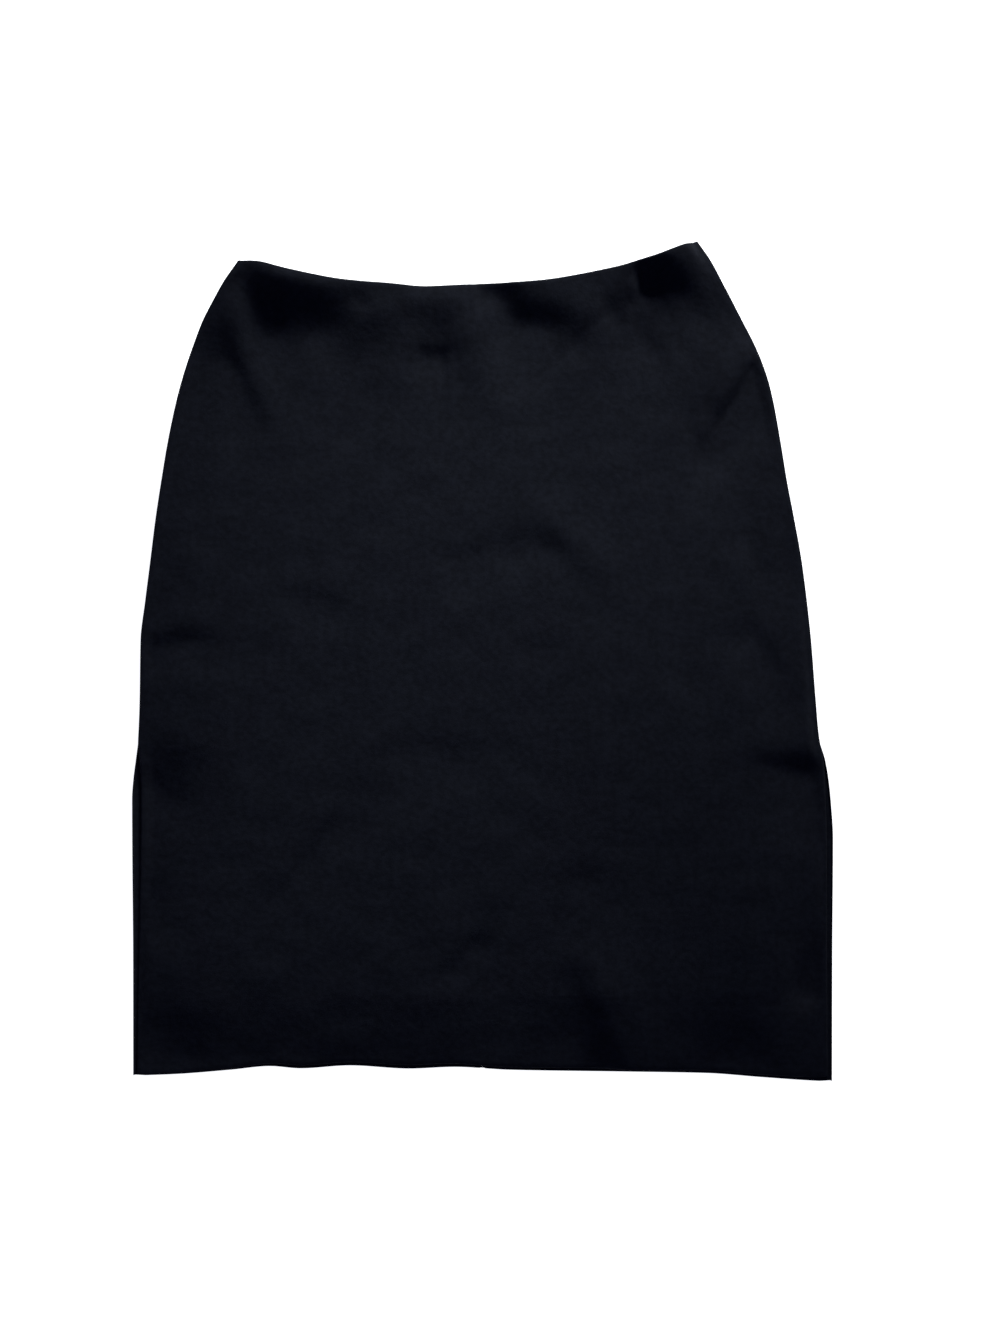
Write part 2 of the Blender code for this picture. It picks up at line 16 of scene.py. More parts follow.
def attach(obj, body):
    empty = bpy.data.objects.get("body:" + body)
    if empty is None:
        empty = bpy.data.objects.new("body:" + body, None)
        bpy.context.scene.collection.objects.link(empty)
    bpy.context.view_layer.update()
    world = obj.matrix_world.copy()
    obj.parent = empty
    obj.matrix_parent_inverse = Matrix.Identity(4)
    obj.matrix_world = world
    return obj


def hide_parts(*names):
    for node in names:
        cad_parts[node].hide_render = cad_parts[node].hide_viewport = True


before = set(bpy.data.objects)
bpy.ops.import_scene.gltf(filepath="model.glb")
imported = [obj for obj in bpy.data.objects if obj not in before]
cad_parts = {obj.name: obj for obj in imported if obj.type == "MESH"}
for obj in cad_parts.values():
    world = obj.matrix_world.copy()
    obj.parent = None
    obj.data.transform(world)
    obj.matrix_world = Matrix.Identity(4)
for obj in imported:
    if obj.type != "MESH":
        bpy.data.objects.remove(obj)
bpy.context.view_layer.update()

# ---------------------------------------------------------------------------------------------
# Front panel. One piece of thick, smooth navy-black crepe suiting. Its hem allowance is turned
# up 52 mm and its waist edge turned in, both pressed. It is sewn to the back down the sides as
# far as the two slits, and lies over the back in soft folds that the laying down left in it.
# ---------------------------------------------------------------------------------------------
MM = 0.001
CLOTH = 1.0                # one layer of the suiting
SEAM_GAP = 0.3             # between the rounded edges of two pieces that are sewn together
EDGE_RADIUS = 2.0          # roundness of a pressed side edge
HEM_TURN_UP = 52.0
HEM_WALL = 2.1             # cloth and its hem allowance
WAIST_TURN_IN = 9.0
WAIST_WALL = 2.1
SEAM_ALLOWANCE = 11.0      # pressed open inside the seams
SEAM_WALL = 1.5
ALLOWANCE_STEP = 1.5       # length over which the wall thins again past an allowance
SIDE_REACH = 75.0          # how far in from the side edge the front reaches its full loft
SIDE_FULLNESS = 2.2        # how fast it rises there
FOLD_HOLD = 7.0            # folds die out over this distance from a side edge
TROUGH_FLOOR = -1.9        # a trough's floor, above the side edges' top
EDGE_FLOOR = 0.15          # the same where both layers are doubled, at the waist and the hem
FLOOR_BLEND = 8.0          # length over which one floor passes into the next
ZIP_STRIP = (13.0, 75.0)   # half width of the zip's strip, and its lower end
SLIDER_STRIP = (5.0, 5.0)  # half width of the slider's strip, and how it fades past that
LIFT_SOFTNESS = 0.7        # how softly a trough meets its floor
BACK_WAIST_DROP = 1.5      # middle of the back's waist edge, below the front's
CORNER_LIFT = 8.0          # height of the two waist corners above the surface
CORNER_REACH = (92.0, 74.0)    # how far inwards, and down the garment, that lift fades
EDGE_SETTLE = (-72.0, -92.0)   # below the slits' tops the free edge sinks on to the back
SETTLE_REACH = 70.0        # how far in from the free edge it does so
FRONT_COLUMNS = 168
FRONT_ROWS = ((118, 0.66), (84, 0.34))     # rows from the hem up, and their share of the length
ARC_ANGLES = (0.0, 18.0, 36.0, 54.0, 72.0, 90.0)   # round a pressed side edge
RIM_ANGLES = (30.0, 60.0, 90.0, 120.0, 150.0)      # round the cloth's own edge

# Sections from waist to hem: the side edges of the back, and how far the front's free edges
# lie inside them below the slits.
Section = namedtuple("Section", "y left right front_in_left front_in_right", defaults=(0.0, 0.0))
SECTIONS = (
    Section(315.3, -174.5, 160.9),
    Section(301.0, -183.0, 171.0),
    Section(286.8, -193.1, 179.0),
    Section(271.8, -202.0, 187.4),
    Section(256.8, -210.2, 195.5),
    Section(241.8, -216.4, 203.4),
    Section(226.8, -221.8, 209.9),
    Section(211.8, -226.4, 215.0),
    Section(196.8, -230.3, 218.6),
    Section(166.8, -236.6, 224.0),
    Section(136.8, -241.6, 228.9),
    Section(106.8, -246.1, 234.6),
    Section(76.8, -249.8, 239.9),
    Section(46.8, -253.6, 243.8),
    Section(16.8, -257.1, 247.0),
    Section(-28.2, -257.8, 250.5),
    Section(-58.2, -259.0, 253.3),
    Section(-73.2, -260.8, 257.7, 2.9, 1.4),
    Section(-88.2, -262.7, 260.3, 5.4, 2.8),
    Section(-103.2, -263.7, 261.9, 6.6, 3.8),
    Section(-133.2, -263.6, 263.7, 6.4, 4.8),
    Section(-223.2, -262.9, 263.1, 4.4, 3.9),
    Section(-315.3, -262.8, 262.9, 2.9, 3.4),
)

# The waist edge of the front from corner to corner.
EdgePoint = namedtuple("EdgePoint", "x y")
WAIST = (
    EdgePoint(-183.0, 301.0),
    EdgePoint(-168.0, 299.3),
    EdgePoint(-147.0, 294.0),
    EdgePoint(-126.0, 289.6),
    EdgePoint(-105.0, 286.4),
    EdgePoint(-74.0, 283.9),
    EdgePoint(-42.0, 281.7),
    EdgePoint(-11.0, 283.0),
    EdgePoint(21.0, 284.1),
    EdgePoint(42.0, 285.6),
    EdgePoint(84.0, 292.3),
    EdgePoint(125.6, 301.9),
    EdgePoint(146.6, 309.6),
    EdgePoint(160.9, 315.3),
)

# The hem edge of the back, and how far the front's hem lies above it.
HemPoint = namedtuple("HemPoint", "x y front_rise")
HEM = (
    HemPoint(-262.8, -311.0, 0.8),
    HemPoint(-231.0, -309.8, 0.8),
    HemPoint(-189.0, -306.5, 1.6),
    HemPoint(-160.0, -303.8, 2.6),
    HemPoint(-137.0, -305.5, 3.0),
    HemPoint(-100.0, -303.3, 3.0),
    HemPoint(-55.0, -305.7, 3.2),
    HemPoint(-21.0, -304.4, 3.2),
    HemPoint(21.0, -306.6, 3.0),
    HemPoint(105.0, -307.9, 2.8),
    HemPoint(168.0, -309.0, 2.6),
    HemPoint(210.0, -312.1, 2.6),
    HemPoint(252.0, -314.9, 3.2),
    HemPoint(262.9, -315.3, 3.4),
)

# Height of the front above its side edges, by height along the garment.
Loft = namedtuple("Loft", "y height")
LOFT = (
    Loft(-315.0, 0.9),
    Loft(-254.0, 6.3),
    Loft(-249.0, 6.7),
    Loft(-195.0, 7.7),
    Loft(-150.0, 7.8),
    Loft(40.0, 5.4),
    Loft(120.0, 4.0),
    Loft(175.0, 3.6),
    Loft(225.0, 5.0),
    Loft(268.0, 7.9),
    Loft(315.0, 8.5),
)

# A trough's floor over the zip, and over the tapes beside it: first the coil, then the coil
# where the pull tab raises it, then the slider.
ZipFloor = namedtuple("ZipFloor", "y over beside")
ZIP_FLOOR = (
    ZipFloor(75.0, 1.4, 1.4),
    ZipFloor(218.0, 1.6, 1.6),
    ZipFloor(246.0, 3.7, 2.3),
    ZipFloor(256.0, 4.2, 2.3),
    ZipFloor(269.0, 5.8, 2.6),
    ZipFloor(277.0, 5.8, 3.0),
    ZipFloor(286.0, 4.6, 3.0),
)

# The folds: soft ridges (height above zero) and troughs (below) along bent lines, each with
# its own width to the left and to the right. grow and die are the shares of the length over
# which it rises and fades; 0 lets it run on.
Fold = namedtuple("Fold", "place start bend end left_width right_width height grow die")
FOLDS = (
    Fold("rim below the left waist", (-182, 301), (-142, 280), (-88, 280), 10, 17, 3.6, 0.15, 0.3),
    Fold("head of the left dip", (-188, 302), (-172, 270), (-146, 240), 18, 12, -3.8, 0.3, 0.3),
    Fold("dip below the left waist", (-188, 252), (-150, 222), (-78, 262), 28, 110, -6.6, 0.2, 0.3),
    Fold("ridge under the left corner", (-188, 264), (-184, 224), (-146, 162), 14, 10, 2.1, 0.3, 0.4),
    Fold("trough inside the left hip", (-197, 264), (-196, 222), (-158, 160), 11, 34, -2.3, 0.5, 0.45),
    Fold("dent in the waist, left", (-98, 278), (-90, 271), (-84, 262), 5, 7, -0.8, 0.3, 0.3),
    Fold("rolled edge at the middle", (-64, 286), (-34, 289), (6, 289), 8, 11, -2.4, 0.3, 0.2),
    Fold("trough left of the zip", (-74, 264), (-50, 242), (-20, 234), 18, 30, -2.0, 0.2, 0.3),
    Fold("dent beside the zip", (-54, 232), (-36, 225), (-18, 226), 9, 20, -2.2, 0.3, 0.3),
    Fold("ridge over the zip", (-22, 286), (0, 236), (20, 150), 24, 17, 3.9, 0.4, 0.6),
    Fold("dip right of the zip", (-12, 281), (20, 256), (78, 233), 19, 92, -7.2, 0.15, 0.35),
    Fold("rim right of the zip", (-8, 291), (16, 292), (44, 289), 12, 14, 1.4, 0.2, 0.4),
    Fold("foot of that dip", (44, 240), (66, 226), (96, 230), 24, 60, -1.8, 0.3, 0.4),
    Fold("hollow right of centre", (80, 262), (94, 250), (110, 258), 20, 60, -2.0, 0.3, 0.3),
    Fold("rim of the right waist", (100, 300), (136, 309), (176, 330), 12, 23, 5.6, 0.3, 0.2),
    Fold("dip below the right waist", (111, 280), (128, 263), (148, 295), 24, 104, -6.5, 0.3, 0.25),
    Fold("hollow under the right waist", (94, 244), (132, 234), (166, 246), 34, 120, -3.6, 0.3, 0.3),
    Fold("hollow under the right corner", (146, 256), (164, 246), (182, 256), 12, 50, -0.9, 0.3, 0.3),
    Fold("crease from the right notch", (226, 238), (194, 200), (146, 106), 20, 11, -6.8, 0.0, 0.6),
    Fold("ridge beside that crease", (214, 250), (184, 206), (152, 144), 9, 40, 2.8, 0.2, 0.5),
    Fold("slope left of that crease", (188, 176), (164, 166), (138, 172), 60, 50, -2.2, 0.3, 0.3),
    Fold("hollow at the right thigh", (192, 74), (216, 84), (244, 60), 44, 90, -2.4, 0.3, 0.2),
    Fold("left end of the middle arch", (-36, 70), (-14, 82), (8, 80), 9, 24, -1.6, 0.3, 0.3),
    Fold("middle arch", (-2, 83), (26, 102), (72, 64), 13, 26, -1.6, 0.2, 0.3),
    Fold("ridge beside the middle arch", (36, 120), (70, 94), (102, 44), 17, 12, 1.5, 0.2, 0.4),
    Fold("crease across the left edge", (-264, 5), (-224, 24), (-140, 4), 8, 20, -1.9, 0.0, 0.6),
    Fold("small trough on the left", (-152, 42), (-122, 56), (-94, 28), 8, 20, -1.0, 0.3, 0.3),
    Fold("streak on the right thigh", (192, 36), (205, 8), (232, -26), 9, 26, -2.2, 0.2, 0.4),
    Fold("hollow above the right slit", (190, -30), (216, -40), (244, -52), 34, 24, -2.0, 0.3, 0.3),
    Fold("strain fold at the right slit", (180, -75), (236, -86), (280, -86), 13, 84, -5.9, 0.35, 0.0),
    Fold("swell below the right slit", (200, -158), (238, -164), (272, -160), 60, 60, 1.7, 0.35, 0.0),
    Fold("broad swell at the right thigh", (40, -40), (150, -36), (270, -44), 110, 190, 3.6, 0.35, 0.0),
    Fold("strain fold at the left slit", (-262, -84), (-230, -81), (-186, -78), 18, 60, -1.9, 0.1, 0.4),
    Fold("second fold at the left slit", (-272, -126), (-246, -114), (-218, -84), 20, 30, -2.8, 0.0, 0.3),
    Fold("hollow beside the left slit", (-272, -186), (-246, -190), (-222, -182), 54, 26, -1.6, 0.1, 0.3),
    Fold("left limb of the long arch", (-176, -206), (-124, -146), (-74, -70), 9, 28, -2.0, 0.3, 0.3),
    Fold("top of the long arch", (-86, -84), (-24, -44), (48, -92), 14, 32, -1.1, 0.25, 0.3),
    Fold("dent in the lower middle", (6, -198), (-12, -222), (-36, -244), 14, 8, -1.8, 0.3, 0.3),
    Fold("slanting trough, lower middle", (94, -124), (62, -172), (50, -228), 18, 9, -1.7, 0.6, 0.5),
    Fold("trough into the hem", (50, -262), (72, -268), (92, -334), 15, 30, -1.2, 0.3, 0.0),
    Fold("ridge beside the hem trough", (64, -196), (98, -244), (118, -326), 46, 16, 4.6, 0.5, 0.0),
    Fold("fall beside the right slit", (222, -238), (248, -249), (276, -247), 58, 14, -4.6, 0.35, 0.0),
    Fold("hollow in the hem, right", (146, -300), (184, -304), (222, -300), 28, 14, -2.6, 0.2, 0.2),
    Fold("fall of the hem, left", (-270, -318), (-190, -316), (-112, -314), 50, 10, -3.0, 0.0, 0.3),
    Fold("fall of the hem, middle", (-130, -314), (-60, -314), (0, -314), 34, 10, -1.6, 0.2, 0.3),
    Fold("swell above the left hem", (-276, -254), (-232, -253), (-170, -252), 70, 44, 2.6, 0.0, 0.4),
    Fold("wave in the hem, left", (-150, -314), (-142, -284), (-120, -240), 18, 18, 1.0, 0.0, 0.6),
    Fold("wave in the hem, middle", (4, -314), (12, -284), (28, -236), 22, 22, 1.6, 0.0, 0.6),
    Fold("slope at the left hip", (-224, 198), (-196, 190), (-156, 186), 46, 140, -2.5, 0.0, 0.4),
)
FOLD_STEPS = 14            # swells along a fold
FOLD_OVERLAP = 1.6         # how far each swell reaches, in steps
FOLD_SPREAD = 0.5          # how much further it reaches for each millimetre off the line
FOLD_VARIES = 0.32         # share by which one swell is higher or lower than the next
FOLD_WANDERS = 0.2         # how far a swell lies off its line, in widths
FOLD_SEED = 11
UNEVENNESS = 0.16          # height of the faint unevenness of pressed cloth that has been worn
UNEVEN_WAVES = 26
UNEVEN_LENGTHS = (22, 95)  # shortest and longest wave
UNEVEN_SEED = 7


def read_off(rows, place, value, at):
    """Value at each place on the smooth curve through a table's rows, with no overshoot."""
    knots = np.array([getattr(row, place) for row in rows], dtype=float)
    values = np.array([getattr(row, value) for row in rows], dtype=float)
    order = np.argsort(knots)
    knots, values = knots[order], values[order]
    steps = np.diff(knots)
    slopes = np.diff(values) / steps
    tangents = np.zeros_like(values)
    tangents[0], tangents[-1] = slopes[0], slopes[-1]
    for i in range(1, len(knots) - 1):
        before, after = slopes[i - 1], slopes[i]
        if before * after > 0:
            near, far = 2 * steps[i] + steps[i - 1], steps[i] + 2 * steps[i - 1]
            tangents[i] = (near + far) / (near / before + far / after)
    at = np.clip(at, knots[0], knots[-1])
    i = np.clip(np.searchsorted(knots, at, side="right") - 1, 0, len(steps) - 1)
    t = (at - knots[i]) / steps[i]
    rise = (3 - 2 * t) * t * t
    bend_in = t * (1 - t) ** 2
    bend_out = t * t * (t - 1)
    straight = values[i] + (values[i + 1] - values[i]) * rise
    return straight + steps[i] * (tangents[i] * bend_in + tangents[i + 1] * bend_out)


def ease(t):
    """Soft step from 0 to 1."""
    t = np.clip(t, 0.0, 1.0)
    return t * t * (3 - 2 * t)


def side_edges(y_left, y_right, front):
    """Left and right edge of the back, or of the front with its free edges further in."""
    left = read_off(SECTIONS, "y", "left", y_left)
    right = read_off(SECTIONS, "y", "right", y_right)
    if front:
        left = left + read_off(SECTIONS, "y", "front_in_left", y_left)
        right = right - read_off(SECTIONS, "y", "front_in_right", y_right)
    return left, right


def waist_y(x):
    return read_off(WAIST, "x", "y", x)


def hem_y(x, front):
    y = read_off(HEM, "x", "y", x)
    if front:
        y = y + read_off(HEM, "x", "front_rise", x)
    return y


def row_shares(groups):
    """Shares of the length for rows in evenly spaced groups, from hem to waist."""
    shares = [0.0]
    for count, part in groups:
        start = shares[-1]
        shares += [start + part * (i + 1) / count for i in range(count)]
    return np.array(shares) / shares[-1]


def plan(across, along, front, trim=0.0):
    """Place on the panel: across from left edge to right, along from hem to waist. trim is
    taken off the hem and the waist, for the roundness of their edges."""
    y_left = HEM[0].y + (WAIST[0].y - HEM[0].y) * along
    y_right = HEM[-1].y + (WAIST[-1].y - HEM[-1].y) * along
    if front:
        y_left = y_left + HEM[0].front_rise * (1 - along)
        y_right = y_right + HEM[-1].front_rise * (1 - along)
    left, right = side_edges(y_left, y_right, front)
    x = left + (right - left) * across
    at_waist = WAIST[0].x + (WAIST[-1].x - WAIST[0].x) * across
    at_hem = HEM[0].x + (HEM[-1].x - HEM[0].x) * across
    top = waist_y(at_waist) - trim
    if not front:
        top = top - BACK_WAIST_DROP * 4 * across * (1 - across)
    bottom = hem_y(at_hem, front) + trim
    return x, bottom + (top - bottom) * along, left, right


def fold_height(x, y):
    """Sum of the folds, each a row of overlapping soft swells along its line."""
    total = np.zeros(x.shape)
    draw = np.random.default_rng(FOLD_SEED)
    for fold in FOLDS:
        corners = np.array((fold.start, fold.bend, fold.end), dtype=float)
        narrow = min(fold.left_width, fold.right_width)
        for k in range(FOLD_STEPS):
            t = (k + 0.5) / FOLD_STEPS
            centre = np.array(((1 - t) ** 2, 2 * t * (1 - t), t * t)) @ corners
            run = np.array((-2 * (1 - t), 2 * (1 - 2 * t), 2 * t)) @ corners
            length = np.hypot(*run)
            reach = FOLD_OVERLAP * length / FOLD_STEPS
            along = ((x - centre[0]) * run[0] + (y - centre[1]) * run[1]) / length
            aside = (run[0] * (y - centre[1]) - run[1] * (x - centre[0])) / length
            aside = aside + draw.uniform(-1, 1) * FOLD_WANDERS * narrow
            width = np.where(aside > 0, fold.left_width, fold.right_width)
            strength = fold.height * length / FOLD_STEPS / (reach * math.sqrt(math.pi))
            strength *= 1 + draw.uniform(-1, 1) * FOLD_VARIES
            if fold.grow:
                strength *= float(ease(t / fold.grow))
            if fold.die:
                strength *= float(ease((1 - t) / fold.die))
            spread = np.hypot(reach, FOLD_SPREAD * aside)
            total += strength * reach / spread * np.exp(-(aside / width) ** 2 - (along / spread) ** 2)
    return total


def unevenness(x, y):
    """Faint waves of many lengths and directions."""
    draw = np.random.default_rng(UNEVEN_SEED)
    total = np.zeros(x.shape)
    for _ in range(UNEVEN_WAVES):
        length = draw.uniform(*UNEVEN_LENGTHS)
        turn = draw.uniform(0, math.pi)
        start = draw.uniform(0, 2 * math.pi)
        total += np.sin((x * math.cos(turn) + y * math.sin(turn)) * 2 * math.pi / length + start)
    return total * UNEVENNESS / math.sqrt(UNEVEN_WAVES / 2)


def corner_lift(x, y, left, right):
    """Both layers stand off the surface at the two waist corners."""
    inward = np.minimum(x - left, right - x) / CORNER_REACH[0]
    down = (waist_y(x) - y) / CORNER_REACH[1]
    return CORNER_LIFT * (1 - ease(inward)) * (1 - ease(down))


def trough_floor(x, y):
    """How low a trough may lie, so that the front stays clear of what is under it."""
    at_waist = ease((y - waist_y(x) + WAIST_TURN_IN) / FLOOR_BLEND + 1)
    at_hem = ease((hem_y(x, True) + HEM_TURN_UP - y) / FLOOR_BLEND + 1)
    middle = (WAIST[0].x + WAIST[-1].x) / 2
    aside = np.abs(x - middle)
    at_zip = ease((ZIP_STRIP[0] - aside) / FLOOR_BLEND + 1) * ease((y - ZIP_STRIP[1]) / FLOOR_BLEND)
    at_slider = ease((SLIDER_STRIP[0] - aside) / SLIDER_STRIP[1] + 1)
    doubled = TROUGH_FLOOR + (EDGE_FLOOR - TROUGH_FLOOR) * np.maximum(at_waist, at_hem)
    over = read_off(ZIP_FLOOR, "y", "over", y)
    beside = read_off(ZIP_FLOOR, "y", "beside", y)
    return doubled + (beside + (over - beside) * at_slider - doubled) * at_zip


def front_lift(x, y, left, right):
    """Height of the front's outer face above the top of its rounded side edges."""
    inside = np.minimum(x - left, right - x) - EDGE_RADIUS
    share = np.clip(inside / SIDE_REACH, 0, 1)
    crown = 1 - (1 - share) ** SIDE_FULLNESS
    loft = read_off(LOFT, "y", "height", y)
    hold = ease(inside / FOLD_HOLD)
    folds = fold_height(x, y) + unevenness(x, y)
    floor = trough_floor(x, y)
    above = loft * crown + (folds - floor) * hold
    return floor * hold + (above + np.hypot(above, LIFT_SOFTNESS)) / 2


def turned_wall(y, hem, waist, inside):
    """Thickness of the cloth with the allowances turned up, in and open inside it."""
    away_from_seam = ease(inside / FOLD_HOLD)
    hem_share = ease((hem + HEM_TURN_UP - y) / ALLOWANCE_STEP + 1) * away_from_seam
    waist_share = ease((y - waist + WAIST_TURN_IN) / ALLOWANCE_STEP + 1) * away_from_seam
    return CLOTH + (HEM_WALL - CLOTH) * hem_share + (WAIST_WALL - CLOTH) * waist_share


def surface_normals(points):
    across = np.gradient(points, axis=1)
    along = np.gradient(points, axis=0)
    normals = np.cross(across, along)
    return normals / np.linalg.norm(normals, axis=2, keepdims=True)


def grain_map(outer):
    """Lengths across and along the cloth, in metres: the pattern's grid, so a weave that
    follows it isn't stretched round an edge."""
    middle = outer.shape[1] // 2
    steps = np.linalg.norm(np.diff(outer, axis=1), axis=2)
    across = np.concatenate((np.zeros((outer.shape[0], 1)), np.cumsum(steps, axis=1)), axis=1)
    across += outer[:, middle:middle + 1, 0] - across[:, middle:middle + 1]
    return np.stack((across, outer[:, :, 1]), axis=2) * MM


def in_scene(name, data):
    """A new object of this mesh, lamp or camera."""
    made = bpy.data.objects.new(name, data)
    bpy.context.scene.collection.objects.link(made)
    return made


def cloth_wall(name, outer, inner, finish):
    """A closed sheet of cloth between two grids of points, with half-round edges. The edges
    bulge half a thickness past the grids' borders."""
    rows, columns = outer.shape[:2]
    border = [(0, j) for j in range(columns)]
    border += [(i, columns - 1) for i in range(1, rows)]
    border += [(rows - 1, j) for j in range(columns - 2, -1, -1)]
    border += [(i, 0) for i in range(rows - 2, 0, -1)]
    rim_rows, rim_columns = np.array(border).T
    ahead = np.zeros((len(border), 3))
    for index, (i, j) in enumerate(border):
        for edge, step in (((i == 0), (1, 0)), ((i == rows - 1), (-1, 0)),
                           ((j == 0), (0, 1)), ((j == columns - 1), (0, -1))):
            if edge:
                out = outer[i, j] - outer[i + step[0], j + step[1]]
                ahead[index] += out / np.linalg.norm(out)
    above, below = outer[rim_rows, rim_columns], inner[rim_rows, rim_columns]
    half = (above - below) / 2
    reach = np.linalg.norm(half, axis=1, keepdims=True)
    places = [outer.reshape(-1, 3), inner.reshape(-1, 3)]
    for angle in RIM_ANGLES:
        turn = math.radians(angle)
        places.append((above + below) / 2 + half * math.cos(turn) + ahead * reach * math.sin(turn))
    grain = grain_map(outer)
    rim_grain = grain[rim_rows, rim_columns]
    grains = [grain.reshape(-1, 2)] * 2 + [rim_grain] * len(RIM_ANGLES)
    count = rows * columns
    cell = (np.arange(rows - 1)[:, None] * columns + np.arange(columns - 1)[None, :]).ravel()
    quads = np.stack((cell, cell + 1, cell + columns + 1, cell + columns), axis=1)
    faces = [quads, quads[:, ::-1] + count]
    loop = rim_rows * columns + rim_columns
    rings = [loop]
    rings += [2 * count + k * len(border) + np.arange(len(border)) for k in range(len(RIM_ANGLES))]
    rings += [loop + count]
    for upper, lower in zip(rings, rings[1:]):
        faces.append(np.stack((upper, lower, np.roll(lower, -1), np.roll(upper, -1)), axis=1))
    mesh = bpy.data.meshes.new(name)
    mesh.from_pydata((np.concatenate(places) * MM).tolist(), [], np.concatenate(faces).tolist())
    grain_layer = mesh.uv_layers.new(name="grain")
    corners = np.zeros(len(mesh.loops), dtype=np.int32)
    mesh.loops.foreach_get("vertex_index", corners)
    grain_layer.data.foreach_set("uv", np.concatenate(grains)[corners].astype(np.float32).ravel())
    work = bmesh.new()
    work.from_mesh(mesh)
    bmesh.ops.recalc_face_normals(work, faces=work.faces)
    work.to_mesh(mesh)
    work.free()
    mesh.shade_smooth()
    mesh.materials.append(finish)
    return in_scene(name, mesh)


def cut_size(outer):
    """Width, length and area in metres of the flat cloth that a grid of points was cut from."""
    across = np.linalg.norm(np.diff(outer, axis=1), axis=2).sum(axis=1)
    along = np.linalg.norm(np.diff(outer, axis=0), axis=2).sum(axis=0)
    sides = np.cross(outer[1:, :-1] - outer[:-1, :-1], outer[:-1, 1:] - outer[:-1, :-1])
    area = np.linalg.norm(sides, axis=2).sum()
    return float(across.max()) * MM, float(along.max()) * MM, float(area) * MM * MM


class Wire:
    """A node's output. Sums, differences, products and sines of it add Math nodes."""

    def __init__(self, tree, socket):
        self.tree = tree
        self.socket = socket

    def math(self, operation, *values):
        return self.tree.node("ShaderNodeMath", {"operation": operation}, dict(enumerate(values)))

    def __add__(self, other):
        return self.math("ADD", self, other)

    def __sub__(self, other):
        return self.math("SUBTRACT", self, other)

    def __rsub__(self, other):
        return self.math("SUBTRACT", other, self)

    def __mul__(self, other):
        return self.math("MULTIPLY", self, other)

    __radd__ = __add__
    __rmul__ = __mul__

    def sine(self):
        return self.math("SINE", self)


class Tree:
    """A node tree in the making."""

    def __init__(self, nodes):
        self.nodes = nodes

    def node(self, kind, settings=None, sockets=None, output=0):
        """A node of this kind, with its settings and then its sockets' values or links."""
        made = self.nodes.nodes.new(kind)
        for name, value in (settings or {}).items():
            setattr(made, name, value)
        for socket, value in (sockets or {}).items():
            self.set(made.inputs[socket], value)
        return Wire(self, made.outputs[output])

    def set(self, socket, value):
        if isinstance(value, Wire):
            self.nodes.links.new(value.socket, socket)
        else:
            socket.default_value = value


class Finish(Tree):
    """A material on the Principled shader."""

    def __init__(self, name, **settings):
        self.material = bpy.data.materials.new(name)
        self.material.use_nodes = True
        super().__init__(self.material.node_tree)
        self.shader = self.nodes.nodes["Principled BSDF"]
        for socket, value in settings.items():
            self.feed(socket.replace("_", " "), value)

    def feed(self, socket, value):
        self.set(self.shader.inputs[socket], value)

    def shade(self, share, dark, light):
        """Colours the piece between these two."""
        self.feed("Base Color", self.node("ShaderNodeMix", {"data_type": "RGBA"}, {
            0: share, 6: (*dark, 1.0), 7: (*light, 1.0)}, 2))

    def noise(self, place, scale, detail, roughness=0.5):
        """Soft random grain, with this many grains to the metre."""
        return self.node("ShaderNodeTexNoise", None, {
            "Vector": place, "Scale": scale, "Detail": detail, "Roughness": roughness})

    def bump(self, strength, depth, height, under=None):
        """Relief of this depth in metres, over another one if under is given."""
        sockets = {"Strength": strength, "Distance": depth, "Height": height}
        if under is not None:
            sockets["Normal"] = under
        return self.node("ShaderNodeBump", None, sockets)

    def place_on_cloth(self):
        """Place on the cloth in metres, and the parts of it across and along the cloth."""
        place = self.node("ShaderNodeUVMap", {"uv_map": "grain"})
        across = self.node("ShaderNodeSeparateXYZ", None, {"Vector": place})
        return place, across, Wire(self, across.socket.node.outputs[1])

    def place_in_piece(self):
        """Place in the piece, in metres."""
        return self.node("ShaderNodeTexCoord", None, None, 3)


THREAD_PITCH = 0.00055     # metres from one thread of the suiting to the next
THREAD_RELIEF = 0.00012    # metres, depth of the weave
MOTTLE_RELIEF = 0.0004     # metres, depth of the broader pebbling
# Grains to the metre, detail and roughness of the three kinds of irregularity.
PEBBLE = (1150.0, 3.0, 0.6)
SLUB = (210.0, 2.0)
MOTTLE = (60.0, 4.0, 0.62)
SUITING_DARK = (0.0048, 0.0054, 0.0086)
SUITING_LIGHT = (0.0075, 0.0085, 0.0133)


def suiting(name):
    """Navy-black crepe: a fine, slightly irregular weave with a pebbled face, a dull surface
    and a short nap that catches light at a slant."""
    cloth = Finish(
        name,
        Specular_IOR_Level=0.05,
        Sheen_Weight=0.02,
        Sheen_Roughness=0.4,
        Sheen_Tint=(0.62, 0.68, 0.85, 1.0),
    )
    place, across, along = cloth.place_on_cloth()
    pebble = cloth.noise(place, *PEBBLE)
    slub = cloth.noise(place, *SLUB)
    mottle = cloth.noise(place, *MOTTLE)
    wander = (slub - 0.5) * THREAD_PITCH * 1.2
    warp = (across + wander) * (math.pi / THREAD_PITCH)
    weft = (along - wander) * (math.pi / THREAD_PITCH)
    weave = warp.sine() * weft.sine()
    threads = cloth.bump(0.4, THREAD_RELIEF, weave * 0.35 + pebble * 0.9 + slub * 0.5)
    cloth.feed("Normal", cloth.bump(1.0, MOTTLE_RELIEF, mottle + slub * 0.3, threads))
    share = (slub - 0.5) * 2.6 + (mottle - 0.5) * 1.9 + (pebble - 0.5) * 1.8 + 0.5
    cloth.shade(share, SUITING_DARK, SUITING_LIGHT)
    cloth.feed("Roughness", (pebble - 0.5) * 0.16 + 0.88)
    return cloth.material


